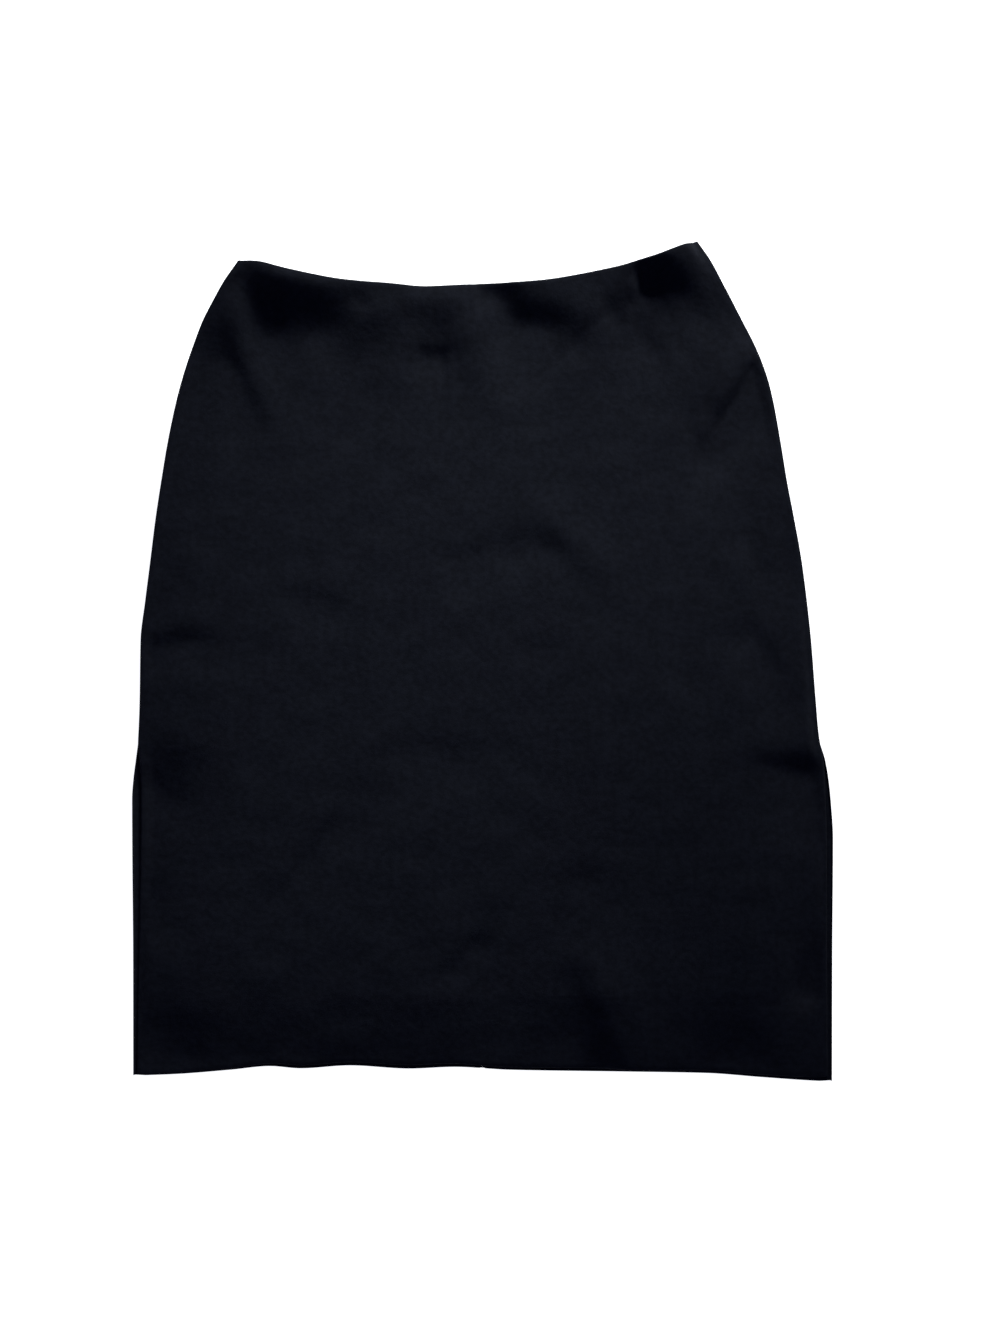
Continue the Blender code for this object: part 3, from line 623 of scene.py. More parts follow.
def front_grids():
    """Outer and inner face of the front panel."""
    along = row_shares(FRONT_ROWS)[:, None]
    arc = [math.radians(angle) for angle in ARC_ANGLES]
    middle = np.linspace(0, 1, FRONT_COLUMNS + 1)[1:-1]
    _, _, left, right = plan(np.array([[0.0]]), along, True)
    width = right - left
    places = [EDGE_RADIUS * (1 - math.cos(a)) / width for a in arc]
    places += [(EDGE_RADIUS + (width - 2 * EDGE_RADIUS) * m) / width for m in middle]
    places += [1 - EDGE_RADIUS * (1 - math.cos(a)) / width for a in reversed(arc)]
    across = np.hstack(places)
    x, y, left, right = plan(across, along, True, HEM_WALL / 2)
    inside = np.minimum(x - left, right - x) - EDGE_RADIUS
    settled = ease((EDGE_SETTLE[0] - y) / (EDGE_SETTLE[0] - EDGE_SETTLE[1]))
    settled = settled * (1 - ease(inside / SETTLE_REACH))
    seam_level = EDGE_RADIUS + SEAM_GAP
    free_level = CLOTH + SEAM_GAP
    base = seam_level + (free_level - seam_level) * settled + corner_lift(x, y, left, right)
    z = base + EDGE_RADIUS + front_lift(x, y, left, right)
    columns = across.shape[1]
    rounding = EDGE_RADIUS - CLOTH / 2
    for k, a in enumerate(arc):
        for j in (k, columns - 1 - k):
            z[:, j] = base[:, j] + CLOTH / 2 + rounding * math.sin(a)
    outer = np.stack((x, y, z), axis=2)
    normals = surface_normals(outer)
    for k, a in enumerate(arc):
        normals[:, k] = (-math.cos(a), 0.0, math.sin(a))
        normals[:, columns - 1 - k] = (math.cos(a), 0.0, math.sin(a))
    wall = turned_wall(y, y[:1], y[-1:], inside)
    return outer, outer - normals * wall[:, :, None]


front_outer, front_inner = front_grids()
front_cloth = cloth_wall("front_cloth", front_outer, front_inner, suiting("front_suiting"))
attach(front_cloth, "skirt")
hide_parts("front_panel")
front_width, front_length, front_area = cut_size(front_outer)

# ---------------------------------------------------------------------------------------------
# Back. Two mirrored halves of the same suiting, sewn together down the centre back. They lie
# flat on the surface, roll up at the sides to meet the front, and rise over the zip's pull tab.
# ---------------------------------------------------------------------------------------------
SLIDER_DROP = 9.0          # slider's middle below the back's waist edge
SLOT_HALF_LENGTH = 5.5     # the centre seam opens over this length to let the bail through
SLOT_SPREAD = 0.8          # how much each half gives way there
TAB_POCKET = 2.6           # how far the pull tab raises the back
POCKET_FLAT = (5.0, 30.0)      # half width of the raised part, and its length from the waist
POCKET_SLOPE = (14.0, 22.0)    # how far beside it and below it the cloth slopes down again
BACK_SIDE_STEPS = 66       # columns from the side edge to the strip beside the centre seam
# That strip's columns, by distance from the seam. The last leaves room for the cloth's edge.
BACK_CENTRE_STEPS = (24.0, 21.5, 19.0, 16.5, 14.0, 12.0, 11.0, 10.0,
                     8.0, 6.0, 4.5, 3.2, 2.2, 1.4, 0.755)
CENTRE_GAP = 0.01          # the centre seam is drawn tight
BACK_ROWS = ((118, 0.72), (70, 0.28))


def centre_x(y):
    """Line of the centre-back seam, from the middle of the waist to the middle of the hem."""
    waist_middle = (WAIST[0].x + WAIST[-1].x) / 2
    hem_middle = (HEM[0].x + HEM[-1].x) / 2
    share = (y - HEM[0].y) / (waist_y(waist_middle) - HEM[0].y)
    return hem_middle + (waist_middle - hem_middle) * share


def pocket_lift(x, y):
    """How far the back is lifted by the pull tab that lies between it and the surface."""
    beside = np.abs(x - centre_x(y)) - POCKET_FLAT[0]
    below = (waist_y(x) - BACK_WAIST_DROP) - y - POCKET_FLAT[1]
    return TAB_POCKET * (1 - ease(beside / POCKET_SLOPE[0])) * (1 - ease(below / POCKET_SLOPE[1]))


def slider_y():
    """Middle of the slider when the zip is closed."""
    return float(waist_y(centre_x(waist_y(0.0))) - BACK_WAIST_DROP - SLIDER_DROP)


def seam_half_gap(y):
    """Half the gap at the centre-back seam, wider where the slider's bail comes through."""
    near = 1 - np.clip(np.abs(y - slider_y()) / SLOT_HALF_LENGTH, 0, 1)
    return CENTRE_GAP / 2 + SLOT_SPREAD * ease(near)


def back_grids(side):
    """Under and upper face of half the back; side is -1 for the left half, +1 for the right."""
    along = row_shares(BACK_ROWS)[:, None]
    arc = [math.radians(angle) for angle in ARC_ANGLES]
    _, y_centre, left, right = plan(np.full(along.shape, 0.5), along, False, HEM_WALL / 2)
    width = right - left
    seam = centre_x(y_centre) + side * seam_half_gap(y_centre)
    edge = left if side < 0 else right
    span = np.abs(seam - edge)
    depths = [np.full(along.shape, EDGE_RADIUS * (1 - math.cos(a))) for a in arc]
    outer_share = span - BACK_CENTRE_STEPS[0] - EDGE_RADIUS
    depths += [EDGE_RADIUS + outer_share * k / BACK_SIDE_STEPS for k in range(1, BACK_SIDE_STEPS)]
    depths += [span - step for step in BACK_CENTRE_STEPS]
    x = edge - side * np.hstack(depths)
    x, y, left, right = plan((x - left) / width, along, False, HEM_WALL / 2)
    base = corner_lift(x, y, left, right)
    z = base + pocket_lift(x, y)
    normals = np.zeros(x.shape + (3,))
    normals[:, :, 2] = -1.0
    rounding = EDGE_RADIUS - CLOTH / 2
    for j, a in enumerate(arc):
        z[:, j] = base[:, j] + rounding * (1 - math.sin(a))
        normals[:, j] = (side * math.cos(a), 0.0, -math.sin(a))
    under = np.stack((x, y, z), axis=2)
    inside = np.abs(x - edge) - EDGE_RADIUS
    wall = turned_wall(y, y[:1], y[-1:], inside)
    from_seam = np.abs(x - seam)
    pressed_open = ease((SEAM_ALLOWANCE - from_seam) / ALLOWANCE_STEP + 1)
    wall = np.maximum(wall, CLOTH + (SEAM_WALL - CLOTH) * pressed_open)
    by_seam = (from_seam < BACK_CENTRE_STEPS[-2]) | ((from_seam < BACK_CENTRE_STEPS[0] + 1) & (y > 0))
    wall = np.where(by_seam, np.minimum(wall, SEAM_WALL), wall)
    return under, under - normals * wall[:, :, None]


HALVES = (("left", -1), ("right", 1))
back_insides = {}
for hand, side in HALVES:
    under, back_insides[hand] = back_grids(side)
    half = cloth_wall(f"back_{hand}_cloth", under, back_insides[hand],
                      suiting(f"back_{hand}_suiting"))
    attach(half, "skirt")
    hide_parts(f"back_{hand}")
    half_width, half_length, half_area = cut_size(under)

# ---------------------------------------------------------------------------------------------
# Sewing. Black polyester thread: blind stitches hold the hem allowances, a row of machine
# stitches holds the allowance that is turned in at the waist, and overlocking binds the raw
# edges. All of it is on the inside of the cloth.
# ---------------------------------------------------------------------------------------------
THREAD = 0.00017           # metres, the thread's radius
SEWN_PROUD = 0.05          # how far a row's line lies off the cloth
BLIND_STEP, BLIND_LENGTH, BLIND_SLANT = 0.0085, 0.0042, 32.0       # metres and degrees
OVERLOCK_STEP, OVERLOCK_LENGTH, OVERLOCK_SLANT = 0.0027, 0.0034, 72.0
MACHINE_STEP, MACHINE_LENGTH = 0.0030, 0.0023
WAIST_ROW = 6.5            # the machine stitches' distance below the waist edge
OVERLOCK_ROW = 2.0         # the overlocking's middle, below the hem allowance's raw edge
SEWN_END = 14              # columns at a panel's sides that a row stops short of
STITCH_SUNK = -0.8         # a stitch's ends and the pull of its arch, in thread radii
STITCH_CREST = 2.4
STITCH_STEPS, THREAD_SIDES = 5, 5


def made_plain(made):
    """The object's mesh, with what its modifiers do to it now part of it."""
    whole = made.evaluated_get(bpy.context.evaluated_depsgraph_get())
    mesh = bpy.data.meshes.new_from_object(whole)
    made.modifiers.clear()
    made.data = mesh
    mesh.name = made.name
    return mesh


class Rows(Tree):
    """A Geometry Nodes tree that sets one small shape again and again along lines."""

    def __init__(self, name, sizes):
        super().__init__(bpy.data.node_groups.new(name, "GeometryNodeTree"))
        face = self.nodes.interface
        face.new_socket("Lines", in_out="INPUT", socket_type="NodeSocketGeometry")
        self.keys = {}
        for size, value in sizes.items():
            made = face.new_socket(size, in_out="INPUT", socket_type="NodeSocketFloat")
            made.default_value = value
            self.keys[size] = made.identifier
        made = face.new_socket("Finish", in_out="INPUT", socket_type="NodeSocketMaterial")
        self.keys["Finish"] = made.identifier
        face.new_socket("Shapes", in_out="OUTPUT", socket_type="NodeSocketGeometry")
        self.given = self.nodes.nodes.new("NodeGroupInput")
        self.result = self.nodes.nodes.new("NodeGroupOutput")

    def size(self, name):
        return Wire(self, self.given.outputs[name])

    def point(self, x, y, z):
        return self.node("ShaderNodeCombineXYZ", None, {0: x, 1: y, 2: z})

    def wire_round(self, path, radius, sides):
        """Thread or wire of this radius along a curve."""
        section = self.node("GeometryNodeCurvePrimitiveCircle", None,
                            {"Resolution": sides, "Radius": radius})
        return self.node("GeometryNodeCurveToMesh", None,
                         {"Curve": path, "Profile Curve": section, "Fill Caps": True})

    def set_along(self, shape):
        """The shape at every step, its Z along the lines' "up" and its X along the line, turned."""
        lines = self.node("GeometryNodeMeshToCurve", None, {"Mesh": self.size("Lines")})
        steps = self.node("GeometryNodeResampleCurve", {"mode": "LENGTH"},
                          {"Curve": lines, "Length": self.size("Step")})
        up = self.node("GeometryNodeInputNamedAttribute", {"data_type": "FLOAT_VECTOR"},
                       {"Name": "up"})
        ahead = self.node("GeometryNodeInputTangent")
        stand = self.node("FunctionNodeAxesToRotation", {"primary_axis": "Z", "secondary_axis": "X"},
                          {"Primary Axis": up, "Secondary Axis": ahead})
        turn = self.node("FunctionNodeAxisAngleToRotation", None,
                         {"Axis": (0.0, 0.0, 1.0), "Angle": self.size("Turn")})
        stand = self.node("FunctionNodeRotateRotation", {"rotation_space": "LOCAL"},
                          {"Rotation": stand, "Rotate By": turn})
        placed = self.node("GeometryNodeInstanceOnPoints", None,
                           {"Points": steps, "Instance": shape, "Rotation": stand})
        real = self.node("GeometryNodeRealizeInstances", None, {"Geometry": placed})
        soft = self.node("GeometryNodeSetShadeSmooth", None, {"Geometry": real})
        done = self.node("GeometryNodeSetMaterial", None,
                         {"Geometry": soft, "Material": self.size("Finish")})
        self.set(self.result.inputs["Shapes"], done)

    def make(self, name, line, up, finish, **sizes):
        """A plain mesh of the shapes along a line of points, standing up from it."""
        mesh = bpy.data.meshes.new(name)
        mesh.from_pydata((line * MM).tolist(), [(i, i + 1) for i in range(len(line) - 1)], [])
        ups = np.broadcast_to(up, line.shape)
        mesh.attributes.new("up", "FLOAT_VECTOR", "POINT").data.foreach_set("vector", ups.ravel())
        made = in_scene(name, mesh)
        repeat = made.modifiers.new("rows", "NODES")
        repeat.node_group = self.nodes
        for size, value in sizes.items():
            repeat[self.keys[size]] = value
        repeat[self.keys["Finish"]] = finish
        made_plain(made)
        return made


def line_across(face, level):
    """Where a line at these heights, one for each column, crosses a grid of points."""
    spots = []
    for j in range(SEWN_END, face.shape[1] - SEWN_END):
        rows = face[:, j]
        spots.append([np.interp(level[j], rows[:, 1], rows[:, k]) for k in range(3)])
    return np.array(spots)


def thread_finish():
    """Matt spun thread with a fine twist."""
    thread = Finish("sewing_thread", Specular_IOR_Level=0.1, Sheen_Weight=0.05)
    twist = thread.noise(thread.place_in_piece(), 4200.0, 2.0)
    thread.shade(twist, (0.006, 0.0065, 0.009), (0.016, 0.017, 0.022))
    thread.feed("Roughness", twist * 0.2 + 0.6)
    thread.feed("Normal", thread.bump(0.4, 0.00005, twist))
    return thread.material


stitch = Rows("stitches", {
    "Step": MACHINE_STEP, "Length": MACHINE_LENGTH, "Thread": THREAD, "Turn": 0.0})
half_stitch = stitch.size("Length") * 0.5
sunk = stitch.size("Thread") * STITCH_SUNK
crest = stitch.size("Thread") * STITCH_CREST
arch = stitch.node("GeometryNodeCurveQuadraticBezier", None, {
    "Resolution": STITCH_STEPS,
    "Start": stitch.point(half_stitch * -1.0, 0.0, sunk),
    "Middle": stitch.point(0.0, 0.0, crest),
    "End": stitch.point(half_stitch, 0.0, sunk),
})
stitch.set_along(stitch.wire_round(arch, stitch.size("Thread"), THREAD_SIDES))

black_thread = thread_finish()
UP = np.array((0.0, 0.0, 1.0))
insides = {
    "front": (front_inner, -UP),
    "back_left": (back_insides["left"], UP),
    "back_right": (back_insides["right"], UP),
}
for panel, (face, inward) in insides.items():
    raw_edge = face[0, :, 1] + HEM_TURN_UP
    hem_line = line_across(face, raw_edge) + inward * SEWN_PROUD
    waist_line = line_across(face, face[-1, :, 1] - WAIST_ROW) + inward * SEWN_PROUD
    bound_line = line_across(face, raw_edge - OVERLOCK_ROW) + inward * SEWN_PROUD
    rows = (
        ("blind", hem_line, BLIND_STEP, BLIND_LENGTH, BLIND_SLANT),
        ("overlock", bound_line, OVERLOCK_STEP, OVERLOCK_LENGTH, OVERLOCK_SLANT),
        ("waist", waist_line, MACHINE_STEP, MACHINE_LENGTH, 0.0),
    )
    for work_name, line, step, length, slant in rows:
        sewn = stitch.make(f"{panel}_{work_name}_stitches", line, inward, black_thread,
                           Step=step, Length=length, Thread=THREAD, Turn=math.radians(slant))
        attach(sewn, "skirt")

# ---------------------------------------------------------------------------------------------
# Zip tapes. A narrow woven polyester tape down each side of the centre-back seam, laid on the
# pressed-open seam allowances and stitched through them. Each carries one row of the coil.
# ---------------------------------------------------------------------------------------------
ZIP_LENGTH = 200.0
ZIP_TOP_SPACE = 3.0        # the tape ends this far below the back's waist edge
TAPE_WALL = 0.6
TAPE_SEAT = 0.3            # the tape's underside above the cloth
TAPE_COLUMNS = 9           # the back's columns that the tape lies on, nearest the seam
TAPE_STITCHES = 4          # columns between its stitching and its inner edge
TAPE_RIB = 0.0006          # metres from one rib of the weave to the next
TAPE_BAND = 0.0018         # metres from one turn of the herringbone to the next


def tape_finish(name):
    """Fine herringbone-woven tape, matt black."""
    tape = Finish(name, Specular_IOR_Level=0.15, Sheen_Weight=0.05)
    place, across, along = tape.place_on_cloth()
    slant = across.math("PINGPONG", across, TAPE_BAND)
    weave = ((along + slant) * (2 * math.pi / TAPE_RIB)).sine()
    fuzz = tape.noise(place, 2600.0, 2.0)
    tape.shade(weave * 0.3 + fuzz * 0.5, (0.006, 0.0062, 0.0075), (0.017, 0.0175, 0.021))
    tape.feed("Roughness", fuzz * 0.15 + 0.7)
    tape.feed("Normal", tape.bump(0.5, 0.0001, weave * 0.4 + fuzz * 0.6))
    return tape.material


tape_tops = {}
tape_end = slider_y() + SLIDER_DROP - ZIP_TOP_SPACE
for hand, side in HALVES:
    seat = back_insides[hand][:, -TAPE_COLUMNS:]
    rows = (seat[:, -1, 1] < tape_end) & (seat[:, -1, 1] > tape_end - ZIP_LENGTH)
    tape_low = seat[rows] + UP * TAPE_SEAT
    tape_top = tape_low + UP * TAPE_WALL
    tape_tops[hand] = tape_top
    tape = cloth_wall(f"zip_tape_{hand}_weave", tape_top, tape_low, tape_finish(f"tape_{hand}"))
    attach(tape, "skirt")
    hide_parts(f"zip_tape_{hand}")
    tape_width, tape_length, tape_area = cut_size(tape_top)
    stitched = stitch.make(f"zip_tape_{hand}_stitches",
                           tape_top[:, -1 - TAPE_STITCHES] + UP * SEWN_PROUD, UP, black_thread,
                           Step=MACHINE_STEP, Length=MACHINE_LENGTH, Thread=THREAD, Turn=0.0)
    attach(stitched, "skirt")

# ---------------------------------------------------------------------------------------------
# Coil. Two rows of nylon turns, sewn to the tapes' inner edges and closed into each other from
# the zip's foot to the slider. Every turn is one bent loop of the same monofilament.
# ---------------------------------------------------------------------------------------------
COIL_PITCH = 0.00122       # metres from one turn to the next
COIL_WIRE = 0.0002         # metres, the filament's radius
COIL_HALF_WIDTH = 0.00098
COIL_HALF_HEIGHT = 0.00058
COIL_OFFSET = 0.77         # from the seam's edge to the middle of a turn
COIL_LEAN = 9.0            # degrees, each turn's lean along the row
COIL_FOOT = 6.0            # the coil starts this far above the tape's lower end
COIL_ABOVE_SLIDER = 5.2    # and ends this far above the slider's middle
BAIL_CLEARANCE = 0.3       # extra room for the slider's bail between the rows
TURN_STEPS, WIRE_SIDES = 10, 4

turn_of_coil = Rows("coil_turns", {
    "Step": COIL_PITCH, "Wire": COIL_WIRE, "Half Width": COIL_HALF_WIDTH,
    "Half Height": COIL_HALF_HEIGHT, "Turn": 0.0})
loop = turn_of_coil.node("GeometryNodeCurvePrimitiveCircle", None,
                         {"Resolution": TURN_STEPS, "Radius": 1.0})
standing = turn_of_coil.node("FunctionNodeEulerToRotation", None,
                             {"Euler": (math.radians(90), 0.0, math.radians(90))})
loop = turn_of_coil.node("GeometryNodeTransform", None, {
    "Geometry": loop,
    "Rotation": standing,
    "Scale": turn_of_coil.point(turn_of_coil.size("Half Width"), turn_of_coil.size("Half Height"), 1.0),
})
turn_of_coil.set_along(turn_of_coil.wire_round(loop, turn_of_coil.size("Wire"), WIRE_SIDES))

nylon = Finish("coil_nylon", Specular_IOR_Level=0.45, Coat_Weight=0.2, Coat_Roughness=0.3)
scuffs = nylon.noise(nylon.place_in_piece(), 900.0, 3.0)
nylon.shade(scuffs, (0.007, 0.0073, 0.009), (0.014, 0.0145, 0.018))
nylon.feed("Roughness", scuffs * 0.25 + 0.3)

for hand, side in HALVES:
    edge = tape_tops[hand][:, -1]
    half_pitch = COIL_PITCH / MM / 2
    y = np.arange(edge[0, 1] + COIL_FOOT, slider_y() + COIL_ABOVE_SLIDER, half_pitch)
    y = y + (half_pitch if side > 0 else 0.0)
    parting = BAIL_CLEARANCE * ease((seam_half_gap(y) - CENTRE_GAP / 2) / SLOT_SPREAD)
    x = centre_x(y) + side * (seam_half_gap(y) + COIL_OFFSET + parting)
    z = np.interp(y, edge[:, 1], edge[:, 2]) + (COIL_HALF_HEIGHT + COIL_WIRE) / MM
    row = np.stack((x, y, z), axis=1)
    coil = turn_of_coil.make(f"zip_coil_{hand}", row, UP, nylon.material,
                             Step=COIL_PITCH, Wire=COIL_WIRE, Turn=math.radians(-side * COIL_LEAN))
    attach(coil, "skirt")

# ---------------------------------------------------------------------------------------------
# Slider. A small die-cast body, lacquered black, that holds the two rows of coil in a channel.
# Its bail comes down through the seam and carries the pull tab on a cross pin.
# ---------------------------------------------------------------------------------------------
SLIDER_LENGTH = 9.0
SLIDER_STEPS = 22
SLIDER_FLOOR, SLIDER_TOP = 5.2, 8.5
CHANNEL_HALF_WIDTH, CHANNEL_TOP = 2.3, 7.1
SLIDER_ROUNDING = 0.45
BAIL = (1.0, 3.0)          # thickness and length along the seam
BAIL_TOP = 7.4
PIN_RADIUS = 0.45
PIN_LENGTH = 5.0
PIN_HEIGHT = 1.2           # the pin's axis above the surface
ROUND_SIDES = 28
BEVEL_STEPS = 3
SHARP_ANGLE = 38.0         # degrees, from which an edge of the casting looks sharp
LEVEL = 1e-6               # an edge that rises less than this is level
FLAT = 0.99                # a face whose normal is at least this upright is flat

# Half width of the slider's body along its length, from the foot (-1) to the nose (1).
Girth = namedtuple("Girth", "along half_width")
SLIDER_PROFILE = (
    Girth(-1.0, 1.9),
    Girth(-0.86, 2.7),
    Girth(-0.3, 3.0),
    Girth(0.3, 3.75),
    Girth(0.72, 3.3),
    Girth(0.94, 2.0),
    Girth(1.0, 1.0),
)


def placed_object(name, work):
    """A mesh object from a bmesh in millimetres, which is freed."""
    bmesh.ops.recalc_face_normals(work, faces=work.faces)
    bmesh.ops.scale(work, vec=(MM, MM, MM), verts=work.verts)
    mesh = bpy.data.meshes.new(name)
    work.to_mesh(mesh)
    work.free()
    return in_scene(name, mesh)


def slab(name, outline, low, high, rounding, panel=None):
    """A flat outline with height, its edges rounded. panel is the width of a border round a
    sunk panel on both faces, and that panel's depth."""
    work = bmesh.new()
    base = work.faces.new([work.verts.new((x, y, low)) for x, y in outline])
    raised = bmesh.ops.extrude_face_region(work, geom=[base])
    corners = [item for item in raised["geom"] if isinstance(item, bmesh.types.BMVert)]
    bmesh.ops.translate(work, vec=(0, 0, high - low), verts=corners)
    bmesh.ops.recalc_face_normals(work, faces=work.faces)
    rims = [e for e in work.edges if abs(e.verts[0].co.z - e.verts[1].co.z) < LEVEL]
    bmesh.ops.bevel(work, geom=rims, offset=rounding, segments=BEVEL_STEPS, profile=0.5,
                    affect="EDGES")
    if panel:
        faces = [f for f in work.faces if abs(f.normal.z) > FLAT]
        for face in sorted(faces, key=lambda f: -f.calc_area())[:2]:
            bmesh.ops.inset_individual(work, faces=[face], thickness=panel[0], depth=0.0)
            bmesh.ops.inset_individual(work, faces=[face], thickness=panel[1], depth=-panel[1])
    return placed_object(name, work)


def bar(name, radius, length, centre):
    """A round bar along X."""
    work = bmesh.new()
    bmesh.ops.create_cone(work, cap_ends=True, segments=ROUND_SIDES, radius1=radius,
                          radius2=radius, depth=length)
    bmesh.ops.rotate(work, matrix=Matrix.Rotation(math.radians(90), 3, "Y"), verts=work.verts)
    bmesh.ops.translate(work, vec=centre, verts=work.verts)
    return placed_object(name, work)


def cuboid(name, size, centre):
    """A block to cut with or to cast on."""
    work = bmesh.new()
    bmesh.ops.create_cube(work, size=1.0)
    bmesh.ops.scale(work, vec=size, verts=work.verts)
    bmesh.ops.translate(work, vec=centre, verts=work.verts)
    return placed_object(name, work)


def cast_in_one(body, steps, finish):
    """Joins other objects to the body, or cuts it with them. They are used up."""
    for operation, other in steps:
        cut = body.modifiers.new(operation.title(), "BOOLEAN")
        cut.operation = operation
        cut.solver = "EXACT"
        cut.object = other
    mesh = made_plain(body)
    for _, other in steps:
        bpy.data.objects.remove(other, do_unlink=True)
    mesh.materials.clear()
    mesh.materials.append(finish)
    mesh.shade_smooth()
    mesh.set_sharp_from_angle(angle=math.radians(SHARP_ANGLE))


def lacquer(name):
    """Black stove lacquer over cast metal, slightly orange-peeled."""
    paint = Finish(name, Specular_IOR_Level=0.5, Metallic=0.35, Coat_Weight=0.5, Coat_Roughness=0.2)
    place = paint.place_in_piece()
    peel = paint.noise(place, 1500.0, 2.0)
    rub = paint.noise(place, 420.0, 4.0)
    paint.shade(rub, (0.008, 0.0083, 0.0095), (0.018, 0.0185, 0.021))
    paint.feed("Roughness", rub * 0.25 + 0.25)
    paint.feed("Normal", paint.bump(0.25, 0.00005, peel))
    return paint.material


seam_x, seam_y = float(centre_x(slider_y())), slider_y()
shares = np.linspace(-1, 1, SLIDER_STEPS)
half_widths = read_off(SLIDER_PROFILE, "along", "half_width", shares)
right_side = [(seam_x + w, seam_y + SLIDER_LENGTH / 2 * s) for s, w in zip(shares, half_widths)]
left_side = [(2 * seam_x - x, y) for x, y in reversed(right_side)]
slider_body = slab("zip_slider_body", right_side + left_side, SLIDER_FLOOR, SLIDER_TOP,
                   SLIDER_ROUNDING)
channel = cuboid(
    "channel", (2 * CHANNEL_HALF_WIDTH, 2 * SLIDER_LENGTH, 2 * (CHANNEL_TOP - SLIDER_FLOOR)),
    (seam_x, seam_y, SLIDER_FLOOR))
bail_low = PIN_HEIGHT - PIN_RADIUS / 2
bail = cuboid("bail", (*BAIL, BAIL_TOP - bail_low), (seam_x, seam_y, (BAIL_TOP + bail_low) / 2))
pin = bar("pin", PIN_RADIUS, PIN_LENGTH, (seam_x, seam_y, PIN_HEIGHT))
cast_in_one(slider_body, (("DIFFERENCE", channel), ("UNION", bail), ("UNION", pin)),
            lacquer("slider_lacquer"))
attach(slider_body, "skirt")
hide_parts("zip_slider")

# ---------------------------------------------------------------------------------------------
# Pull tab. A lacquered teardrop with a sunk panel on each face. Its forked eye turns on the
# slider's cross pin, and it lies between the back and the surface, pointing to the hem.
# ---------------------------------------------------------------------------------------------
PULL_LENGTH = 24.0
PULL_WIDTH = 6.0
PULL_NECK = 3.4
PULL_NECK_LENGTH = 7.0
PULL_THICKNESS = 1.0
PULL_ROUNDING = 0.28
PULL_PANEL = (0.75, 0.18)  # border round the sunk panel, and its depth
EYE_RADIUS = 0.95          # the eye that turns on the slider's pin
EYE_BORE = 0.6
EYE_WIDTH = 4.0
FORK_SLOT = 1.7            # room for the bail between the fork's prongs
FORK_DEPTH = 2.8
TIP_STEPS = 24
SIDE_STEPS = 8

tip_radius = PULL_WIDTH / 2
tip_y = seam_y - PULL_LENGTH + tip_radius
side_rows = np.linspace(0, 1, SIDE_STEPS)[:-1]
swell = PULL_NECK / 2 + (tip_radius - PULL_NECK / 2) * ease(side_rows)
neck_y = seam_y - PULL_NECK_LENGTH
side_y = neck_y + (tip_y - neck_y) * side_rows
tip = [math.pi + math.pi * k / TIP_STEPS for k in range(TIP_STEPS + 1)]
tab_outline = [(seam_x - PULL_NECK / 2, seam_y)]
tab_outline += [(seam_x - w, y) for w, y in zip(swell, side_y)]
tab_outline += [(seam_x + tip_radius * math.cos(t), tip_y + tip_radius * math.sin(t)) for t in tip]
tab_outline += [(seam_x + w, y) for w, y in zip(reversed(swell), reversed(side_y))]
tab_outline += [(seam_x + PULL_NECK / 2, seam_y)]
pull = slab("zip_pull_tab", tab_outline, PIN_HEIGHT - PULL_THICKNESS / 2,
            PIN_HEIGHT + PULL_THICKNESS / 2, PULL_ROUNDING, PULL_PANEL)
eye = bar("eye", EYE_RADIUS, EYE_WIDTH, (seam_x, seam_y, PIN_HEIGHT))
bore = bar("bore", EYE_BORE, 2 * EYE_WIDTH, (seam_x, seam_y, PIN_HEIGHT))
fork_length = FORK_DEPTH + 2 * EYE_RADIUS
fork = cuboid("fork", (FORK_SLOT, fork_length, 4 * EYE_RADIUS),
              (seam_x, seam_y + fork_length / 2 - FORK_DEPTH, PIN_HEIGHT))
cast_in_one(pull, (("UNION", eye), ("DIFFERENCE", bore), ("DIFFERENCE", fork)),
            lacquer("pull_lacquer"))
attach(pull, "zip_pull")
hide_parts("zip_pull")

# ---------------------------------------------------------------------------------------------
# Studio. A white table top under a white surround that only the camera sees, and one large
# soft window light, low beyond the waist and to the right. The camera looks straight down.
# ---------------------------------------------------------------------------------------------
TABLE_HALF = 6.0           # metres, as is all down to the window's size
TABLE_DROP = 0.0003        # the table top's distance below the skirt
SURROUND_RADIUS = 6.0
WINDOW_PLACE = (0.38, 1.45, 0.44)
WINDOW_AIM = (-0.03, 0.06, 0.0)
WINDOW_SIZE = (0.6, 0.26)
WINDOW_SPREAD = 32.0       # degrees
WINDOW_POWER = 2.4         # watts
WINDOW_COLOUR = (0.96, 1.0, 0.93)
ROOM_COLOUR = (0.72, 0.84, 1.75, 1.0)
ROOM_STRENGTH = 0.11
SURROUND_STEPS = (48, 24)
FRAME_HEIGHT = 999.75      # millimetres of table that the frame's height takes in
FRAME_CENTRE = (11.25, -3.075)
CLOTH_TOP = 6.0            # level of the cloth that the frame is fitted to
LENS = 50.0
SENSOR = 36.0
VIEW_END = 30.0            # metres


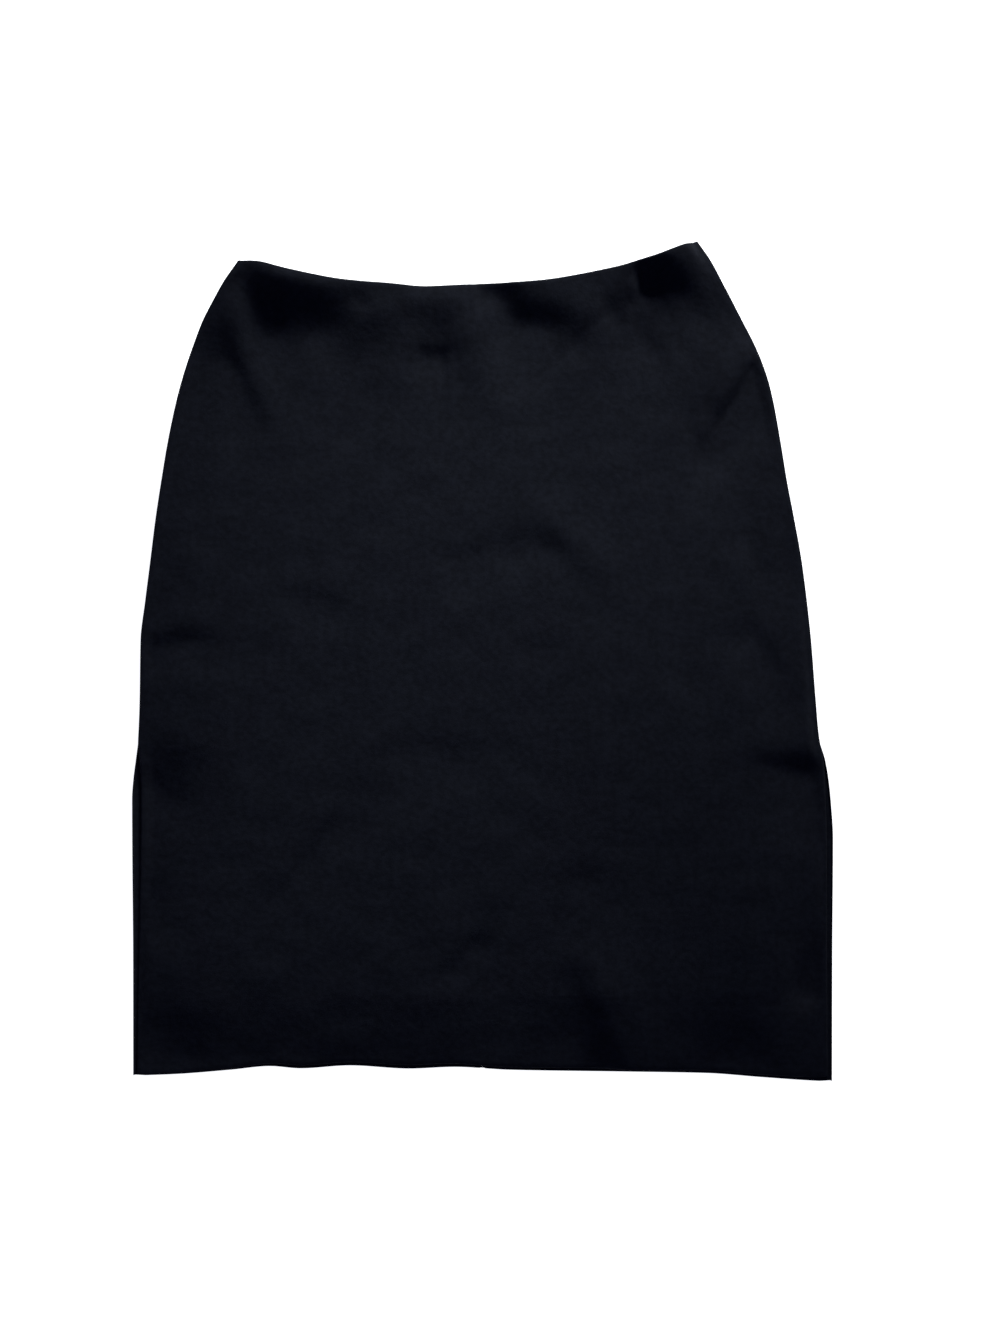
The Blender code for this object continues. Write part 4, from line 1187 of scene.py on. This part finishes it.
def studio_white(name):
    """Plain white that glows enough to look white."""
    white = Finish(name, Roughness=0.9, Specular_IOR_Level=0.1, Emission_Strength=1.0)
    white.feed("Base Color", (0.82, 0.82, 0.82, 1.0))
    white.feed("Emission Color", (1.0, 1.0, 1.0, 1.0))
    return white.material


corners = ((-1, -1), (1, -1), (1, 1), (-1, 1))
floor_mesh = bpy.data.meshes.new("floor")
floor_mesh.from_pydata([(x * TABLE_HALF, y * TABLE_HALF, -TABLE_DROP) for x, y in corners], [],
                       [(0, 1, 2, 3)])
floor_mesh.materials.append(studio_white("table_white"))
floor = in_scene("floor", floor_mesh)

surround_mesh = bpy.data.meshes.new("surround")
work = bmesh.new()
bmesh.ops.create_uvsphere(work, u_segments=SURROUND_STEPS[0], v_segments=SURROUND_STEPS[1],
                          radius=SURROUND_RADIUS)
bmesh.ops.reverse_faces(work, faces=work.faces)
work.to_mesh(surround_mesh)
work.free()
surround_mesh.materials.append(studio_white("surround_white"))
surround = in_scene("surround", surround_mesh)
surround.visible_diffuse = False
surround.visible_glossy = False
surround.visible_transmission = False
surround.visible_shadow = False

world = bpy.data.worlds.new("room")
world.use_nodes = True
world.node_tree.nodes["Background"].inputs["Color"].default_value = ROOM_COLOUR
world.node_tree.nodes["Background"].inputs["Strength"].default_value = ROOM_STRENGTH
bpy.context.scene.world = world

window = bpy.data.lights.new("window", "AREA")
window.shape = "RECTANGLE"
window.size, window.size_y = WINDOW_SIZE
window.energy = WINDOW_POWER
window.color = WINDOW_COLOUR
window.spread = math.radians(WINDOW_SPREAD)
lamp = in_scene("window", window)
lamp.location = WINDOW_PLACE
right, ahead, up = np.array(WINDOW_AIM) - np.array(WINDOW_PLACE)
lamp.rotation_euler = (math.atan2(math.hypot(right, ahead), -up), 0.0, math.atan2(-right, ahead))

view = bpy.data.cameras.new("camera")
view.lens = LENS
view.sensor_width = SENSOR
view.clip_end = VIEW_END
camera = in_scene("camera", view)
camera.location = (FRAME_CENTRE[0] * MM, FRAME_CENTRE[1] * MM,
                   (FRAME_HEIGHT * LENS / SENSOR + CLOTH_TOP) * MM)
bpy.context.scene.camera = camera
bpy.context.scene.view_settings.view_transform = "Standard"
